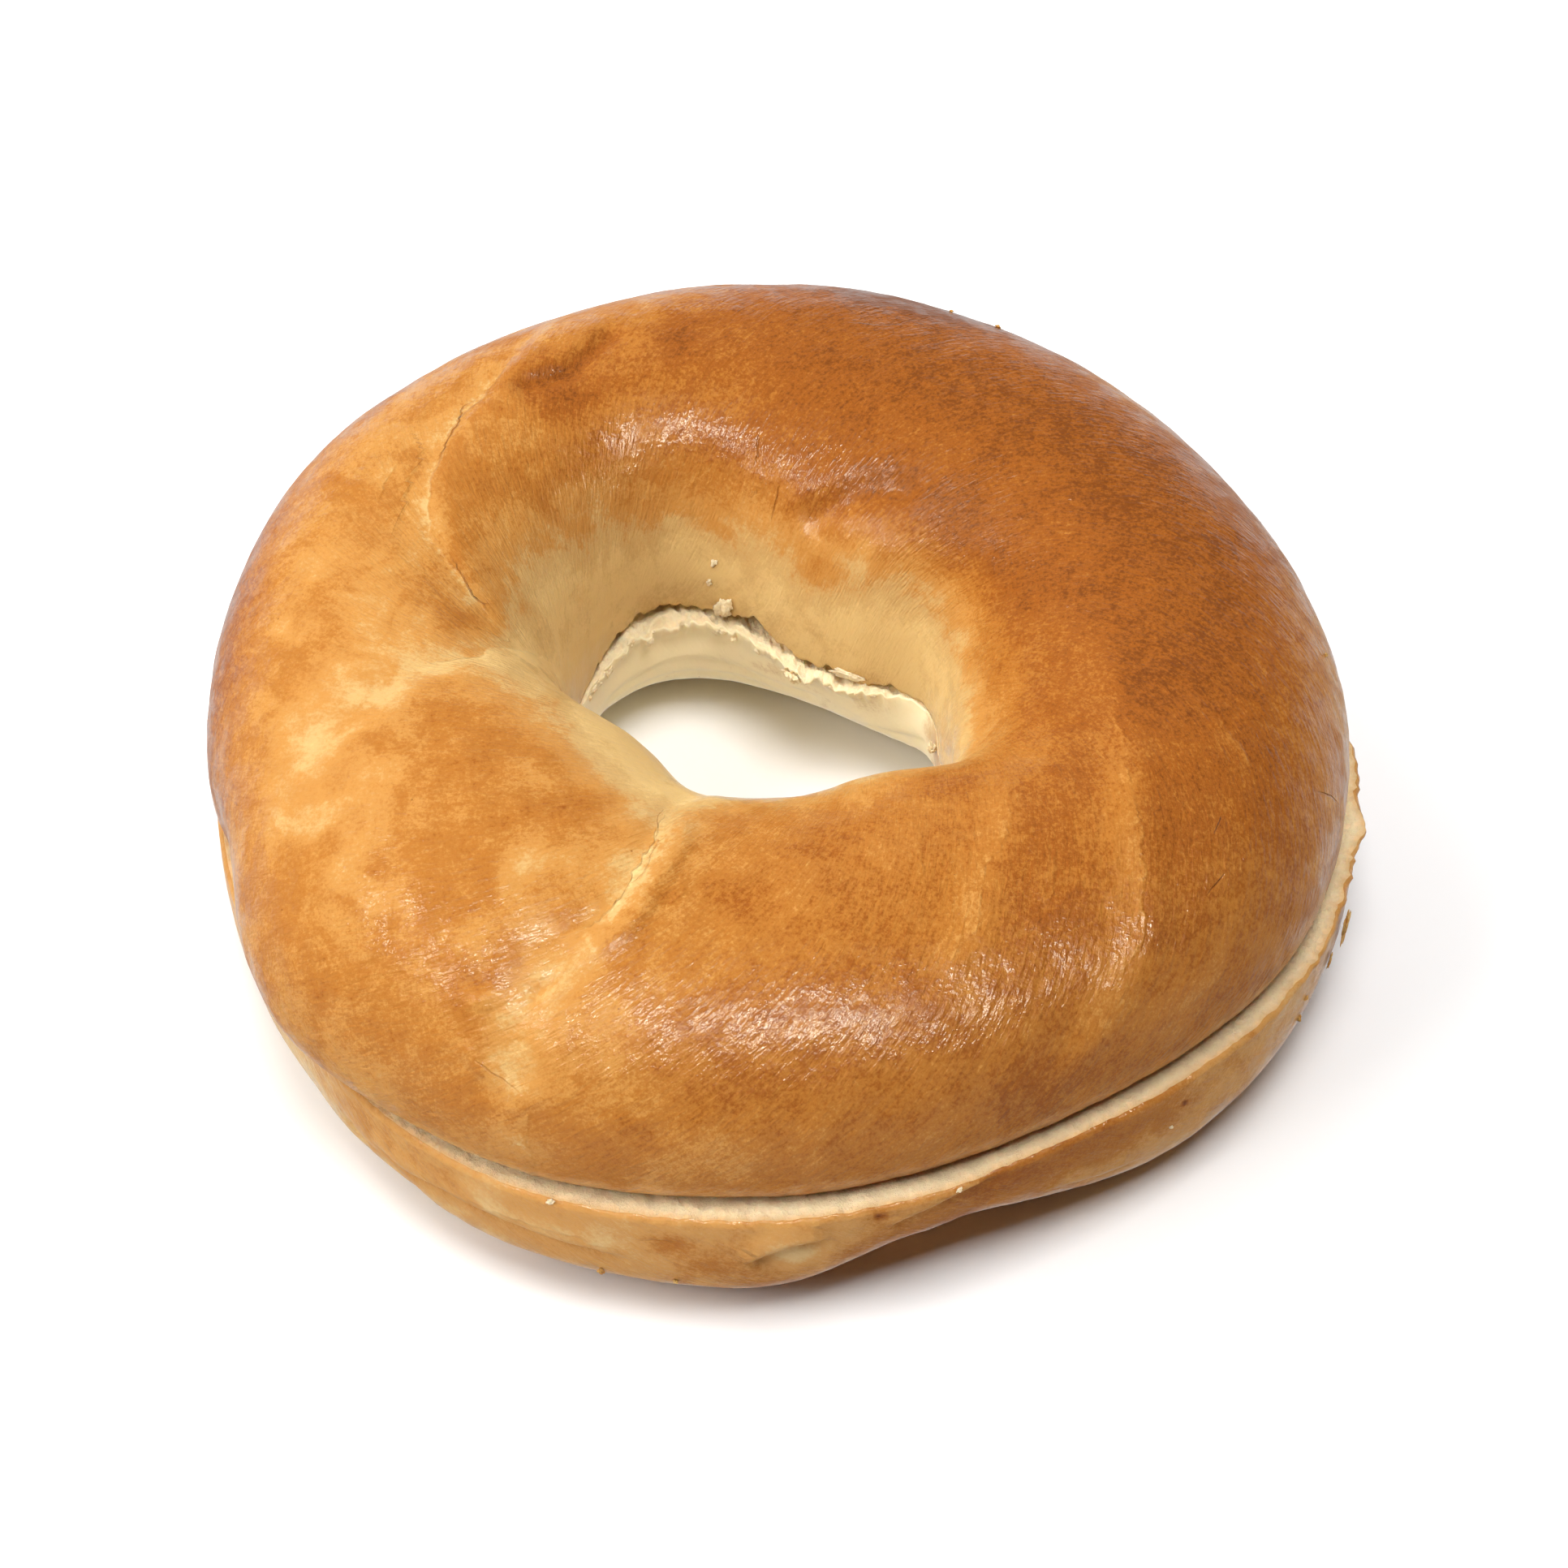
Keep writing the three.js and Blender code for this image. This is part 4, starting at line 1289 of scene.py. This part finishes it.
@dataclass(frozen=True)
class Trail:
    """A stretch of a rim along which the knife left crumbs, each placed by a seeded draw."""

    half: str
    across: float
    angles: Place
    count: int
    sizes: Place
    seed: int

    def crumbs(self) -> list[Crumb]:
        """Draws the crumbs of this trail."""
        draw = np.random.default_rng(self.seed)
        found = []
        for _ in range(self.count):
            size = self.sizes[0] + (self.sizes[1] - self.sizes[0]) * draw.random() ** 2
            place = (draw.uniform(*self.angles), self.across + draw.uniform(-0.008, 0.008))
            found.append(Crumb(
                self.half, place, size, long=draw.uniform(1.0, 1.7), flat=draw.uniform(0.4, 0.9),
                turn=draw.uniform(0, math.pi), proud=draw.uniform(0.2, 0.7),
                seed=draw.uniform(0, 50),
            ))
        return found


@dataclass
class Crumbs:
    """The crumbs and flakes of one kind that the knife left on the bagel."""

    name: str
    slot: str
    crumbs: list[Crumb]
    finish: CrumbFinish

    def build(self, crusts: dict[str, Crust]) -> bpy.types.Object:
        """Makes the crumbs, and joins them into one piece.

        Args:
            crusts: The crust of each half, by the half's name.

        Returns:
            The piece.
        """
        bpy.ops.object.select_all(action="DESELECT")
        bpy.ops.mesh.primitive_ico_sphere_add(subdivisions=4, radius=0.5 * MM, location=(0, 0, 0))
        first = bpy.context.object
        bits = []
        for crumb in self.crumbs:
            bit = first.copy()
            bit.data = first.data.copy()
            bpy.context.collection.objects.link(bit)
            self.shape(bit, crumb, crusts[crumb.half])
            bits.append(bit)
        bpy.data.objects.remove(first)
        for bit in bits:
            bit.select_set(True)
        bpy.context.view_layer.objects.active = bits[0]
        bpy.ops.object.join()
        piece = bpy.context.object
        piece.name = self.name
        bpy.ops.object.shade_smooth()
        layer = piece.data.attributes.new("rind", "FLOAT", "POINT")
        layer.data.foreach_set("value", [FAR_FROM_CRUST] * len(piece.data.vertices))
        piece.data.materials.clear()
        piece.data.materials.append(self.finish.make())
        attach(piece, "root")
        return piece

    def shape(self, bit: bpy.types.Object, crumb: Crumb, crust: Crust) -> None:
        """Gives a crumb its own ragged form, and sets it on the crust.

        Args:
            bit: The ball that it is made from.
            crumb: Its place and size.
            crust: The crust that carries it.
        """
        spot = Vector(crust.at(crumb.at))
        column = round(crust.column(crumb.at[0])) % len(crust.angles)
        row = int(np.argmin(np.abs(crust.across - crumb.at[1])))
        up = Vector(crust.normals()[column, row])
        turn = up.to_track_quat("Z", "Y").to_matrix() @ Matrix.Rotation(crumb.turn, 3, "Z")
        stand = Vector((0, 0, crumb.proud * crumb.size / 2))
        for vertex in bit.data.vertices:
            ball = vertex.co / MM * 2
            push = 1 + 0.7 * noise.noise(ball * 1.2 + Vector((crumb.seed, 5, 0)))
            push += 0.45 * noise.noise(ball * 2.8 + Vector((0, crumb.seed, 9)))
            push += 0.2 * noise.noise(ball * 6.5 + Vector((9, 0, crumb.seed)))
            long = Vector((ball.x * crumb.long, ball.y, ball.z * crumb.flat))
            vertex.co = (spot + turn @ (long * push * crumb.size / 2 + stand)) * MM


class Share(Enum):
    """Which share of a light's work a softbox does."""

    SHADING = "spread light and shadows"
    HIGHLIGHT = "mirror image in the gloss"


@dataclass(frozen=True)
class Softbox:
    """A soft rectangular light, by where it hangs and how wide and tall it looks, in degrees.

    Its level is how bright a white sheet looks that faces it.
    """

    name: str
    azimuth: float
    elevation: float
    width: float
    height: float
    level: float
    share: Share = Share.SHADING


SOFTBOXES = (
    Softbox("top", 295.0, 79.0, 26.0, 26.0, 0.71),
    Softbox("left", 203.0, 39.0, 28.0, 24.0, 0.48),
    Softbox("back_left", 160.0, 48.0, 26.0, 24.0, 0.27),
    Softbox("back", 105.0, 40.0, 90.0, 20.0, 0.53),
    Softbox("front_strip", 271.0, 66.0, 40.0, 4.5, 0.66, Share.HIGHLIGHT),
    Softbox("left_spark", 196.0, 47.0, 12.0, 6.0, 0.15, Share.HIGHLIGHT),
    Softbox("right_spark", 316.0, 50.0, 9.0, 7.0, 0.18, Share.HIGHLIGHT),
)
LIGHT_COLOUR = {Share.SHADING: (1.0, 1.0, 1.0), Share.HIGHLIGHT: (1.0, 1.0, 0.86)}


@dataclass
class Studio:
    """White sweep, soft lights from above and the camera."""

    aim: tuple[float, float, float] = (-0.08, -2.07, 15.0)
    elevation: float = 49.0
    distance: float = 500.0
    lens: float = 120.8
    floor_size: float = 6000.0
    ambient: float = 0.02
    mirrored_floor: float = 0.12
    mirrored_backdrop: float = 0.8
    mirrored_room: float = 0.08
    light_distance: float = 2000.0
    softboxes: tuple[Softbox, ...] = SOFTBOXES

    def build(self) -> None:
        """Makes the floor, the room, the lights and the camera."""
        self.lay_floor()
        self.fill_room()
        for box in self.softboxes:
            self.hang(box)
        self.place_camera()

    def lay_floor(self) -> None:
        """Lays the white floor."""
        bpy.ops.object.select_all(action="DESELECT")
        bpy.ops.mesh.primitive_plane_add(size=self.floor_size * MM, location=(0, 0, 0))
        floor = bpy.context.object
        floor.name = "floor"
        mix = Mixer(bpy.data.materials.new("floor_white"))
        white = mix.blend(mix.clouds(900.0, 1.0), (0.89, 0.89, 0.89), (0.91, 0.91, 0.91))
        mix.fill("Principled BSDF", Base_Color=white, Roughness=0.8, Specular_IOR_Level=0.2)
        floor.data.materials.append(mix.owner)
        floor.visible_glossy = False

    def fill_room(self) -> None:
        """Fills the room with white, which is also the backdrop, and dimmer in the gloss."""
        mix = Mixer(bpy.data.worlds.new("white_room"))
        bpy.context.scene.world = mix.owner
        height = mix.node("SeparateXYZ", "Z", {0: mix.node("TexCoord", "Generated", {})})
        back = height.node.outputs["Y"]
        behind = mix.step(back, 0.0, 0.6, self.mirrored_floor, self.mirrored_backdrop)
        mirrored = mix.step(height, 0.0, 0.22, behind, self.mirrored_room)
        strength: Value = self.ambient
        for ray, level in (("Is Camera Ray", 1.0), ("Is Glossy Ray", mirrored)):
            seen = mix.node("LightPath", ray, {})
            strength = mix.node("Mix", 0, {0: seen, 2: strength, 3: level})
        mix.fill("Background", Color=(1.0, 1.0, 1.0), Strength=strength)

    def hang(self, box: Softbox) -> None:
        """Hangs a softbox so that it faces the bagel.

        Args:
            box: The softbox.
        """
        bpy.ops.object.select_all(action="DESELECT")
        azimuth, rise = math.radians(box.azimuth), math.radians(box.elevation)
        flat = math.cos(rise)
        toward = Vector((math.cos(azimuth) * flat, math.sin(azimuth) * flat, math.sin(rise)))
        distance = self.light_distance * MM
        bpy.ops.object.light_add(type="AREA", location=toward * distance)
        lamp = bpy.context.object
        lamp.name = box.name
        lamp.data.shape = "RECTANGLE"
        lamp.data.size = 2 * distance * math.tan(math.radians(box.width) / 2)
        lamp.data.size_y = 2 * distance * math.tan(math.radians(box.height) / 2)
        lamp.data.energy = box.level * 4 * math.pi * distance**2
        lamp.data.color = LIGHT_COLOUR[box.share]
        lamp.visible_glossy = box.share is Share.HIGHLIGHT
        lamp.visible_diffuse = box.share is Share.SHADING
        lamp.rotation_euler = (-toward).to_track_quat("-Z", "Y").to_euler()

    def place_camera(self) -> None:
        """Places the camera, and sets the plain view that keeps whites white."""
        rise = math.radians(self.elevation)
        back = Vector((0, -math.cos(rise), math.sin(rise)))
        camera = bpy.data.cameras.new("camera")
        camera.lens = self.lens
        camera.sensor_width = 36.0
        eye = bpy.data.objects.new("camera", camera)
        bpy.context.collection.objects.link(eye)
        eye.location = (Vector(self.aim) + back * self.distance) * MM
        eye.rotation_euler = (-back).to_track_quat("-Z", "Y").to_euler()
        bpy.context.scene.camera = eye
        bpy.context.scene.view_settings.view_transform = "Standard"


HOLE_TEARS = (
    Tear("torn crumb at the back left", 131, 17, 1.0),
    Tear("open pocket", 101, 6, 1.6),
    Tear("end of the pocket", 91, 4, 0.7),
    Tear("small pocket", 70, 6, 0.8),
    Tear("slit at the right", 46, 5, 0.5),
)
HEEL_LIPS = (
    Tear("torn lip at the back left", 124, 22, 1.6),
    Tear("torn lip at the back", 88, 14, 1.2),
    Tear("lip at the back right", 58, 16, 0.9),
)
HEEL_RAGGED = (
    Tear("ragged rim at the right", 353, 10, 0.8),
    Tear("ragged rim at the lower right", 332, 10, 0.35),
)
FLAKES = [
    Crumb("bottom_half", (341.0, 0.05), 2.0, 1.5, 0.18, 1.3, 0.6, 1.0),
    Crumb("bottom_half", (338.0, 0.085), 1.0, 1.7, 0.2, 1.5, 0.5, 2.0),
    Crumb("bottom_half", (331.9, 0.073), 0.35, 1.4, 0.8, 0.4, 0.5, 3.0),
    Crumb("bottom_half", (331.2, 0.115), 0.45, 1.3, 0.8, 1.1, 0.5, 5.0),
    Crumb("bottom_half", (252.2, 0.165), 0.6, 1.3, 0.8, 1.3, 0.7, 9.0),
    Crumb("bottom_half", (259.4, 0.155), 0.4, 1.3, 0.8, 0.3, 0.7, 4.0),
    Crumb("top_half", (64.8, 0.245), 0.4, 1.3, 0.8, 0.5, 0.4, 11.0),
    Crumb("top_half", (70.6, 0.25), 0.35, 1.3, 0.8, 1.5, 0.4, 12.0),
    Crumb("top_half", (2.4, 0.205), 0.35, 1.3, 0.8, 2.5, 0.4, 13.0),
]
CREAM_CRUMBS = [
    Crumb("top_half", (108.5, 0.985), 1.5, 1.7, 0.5, 1.2, 0.4, 3.0),
    Crumb("top_half", (111.5, 0.93), 0.5, 1.8, 0.5, 1.5, 0.4, 4.0),
    Crumb("top_half", (110.2, 0.89), 0.5, 1.8, 0.5, 1.2, 0.4, 5.0),
    Crumb("top_half", (61.0, 0.99), 0.9, 3.4, 0.3, 0.1, 0.3, 6.0),
    Crumb("bottom_half", (87.0, 0.985), 1.3, 1.4, 0.6, 0.4, 0.6, 8.0),
    Crumb("bottom_half", (12.0, 0.985), 1.1, 1.5, 0.7, 0.4, 0.8, 9.0),
    Crumb("bottom_half", (311.2, 0.092), 0.3, 1.2, 0.8, 0.4, 0.7, 10.0),
    Crumb("bottom_half", (286.5, 0.004), 0.4, 1.4, 0.8, 0.4, 0.7, 11.0),
    Crumb("bottom_half", (248.0, 0.003), 0.45, 1.5, 0.8, 0.4, 0.7, 12.0),
    *Trail("bottom_half", 0.992, (75.0, 155.0), 22, (0.3, 0.8), 12).crumbs(),
    *Trail("bottom_half", 0.992, (40.0, 75.0), 6, (0.3, 0.5), 15).crumbs(),
]


def halves() -> tuple[DoughHalf, ...]:
    """The two halves, each with the solid that it stands for as its node."""
    return (
        TopHalf(
            name="upper_dough", node="top_half", slot="golden_crust", looks=CutFace.DOWN,
            crust_finish=CrustFinish("upper_crust"), columns=600, crust_rows=130, face_rows=34,
            swellings=CROWN_SWELLINGS, seams=CROWN_SEAMS, tears=HOLE_TEARS,
            patches=CROWN_PATCHES, stretches=CROWN_STRETCHES, cracks=CROWN_CRACKS,
        ),
        BottomHalf(
            name="lower_dough", node="bottom_half", slot="pale_crust", looks=CutFace.UP,
            crust_finish=CrustFinish(
                # The lower crust's cream is lighter than its dough, partly painted light on the wall of the
                # hole, which lies in shade.
                "lower_crust", cream=(0.97, 0.84, 0.55), straw=(0.64, 0.43, 0.19),
                gold=(0.56, 0.28, 0.08), glaze=0.45, mottle=0.14,
            ),
            columns=640, crust_rows=110, face_rows=40, swellings=HEEL_SWELLINGS,
            seams=HEEL_SEAMS, lips=HEEL_LIPS, ragged=HEEL_RAGGED, patches=HEEL_PATCHES,
            stretches=HEEL_STRETCHES, cracks=HEEL_CRACKS,
        ),
    )


def main() -> None:
    """Builds the bagel and its studio, and reports each piece."""
    logging.basicConfig(level=logging.INFO, format="%(name)s: %(message)s")
    pieces, crusts = [], {}
    for half in halves():
        piece, crusts[half.node] = half.build()
        pieces.append(piece)
    baked = CrumbFinish("loose_flakes", crumb=(0.74, 0.42, 0.13), pore_shade=(0.5, 0.22, 0.05))
    for crumbs in (
        Crumbs("crumbs", "pale_crust", CREAM_CRUMBS, CrumbFinish("loose_crumb")),
        Crumbs("flakes", "golden_crust", FLAKES, baked),
    ):
        pieces.append(crumbs.build(crusts))
    for piece in pieces:
        LOG.info("%s: %d faces", piece.name, len(piece.data.polygons))
    Studio().build()


if __name__ == "__main__":
    main()
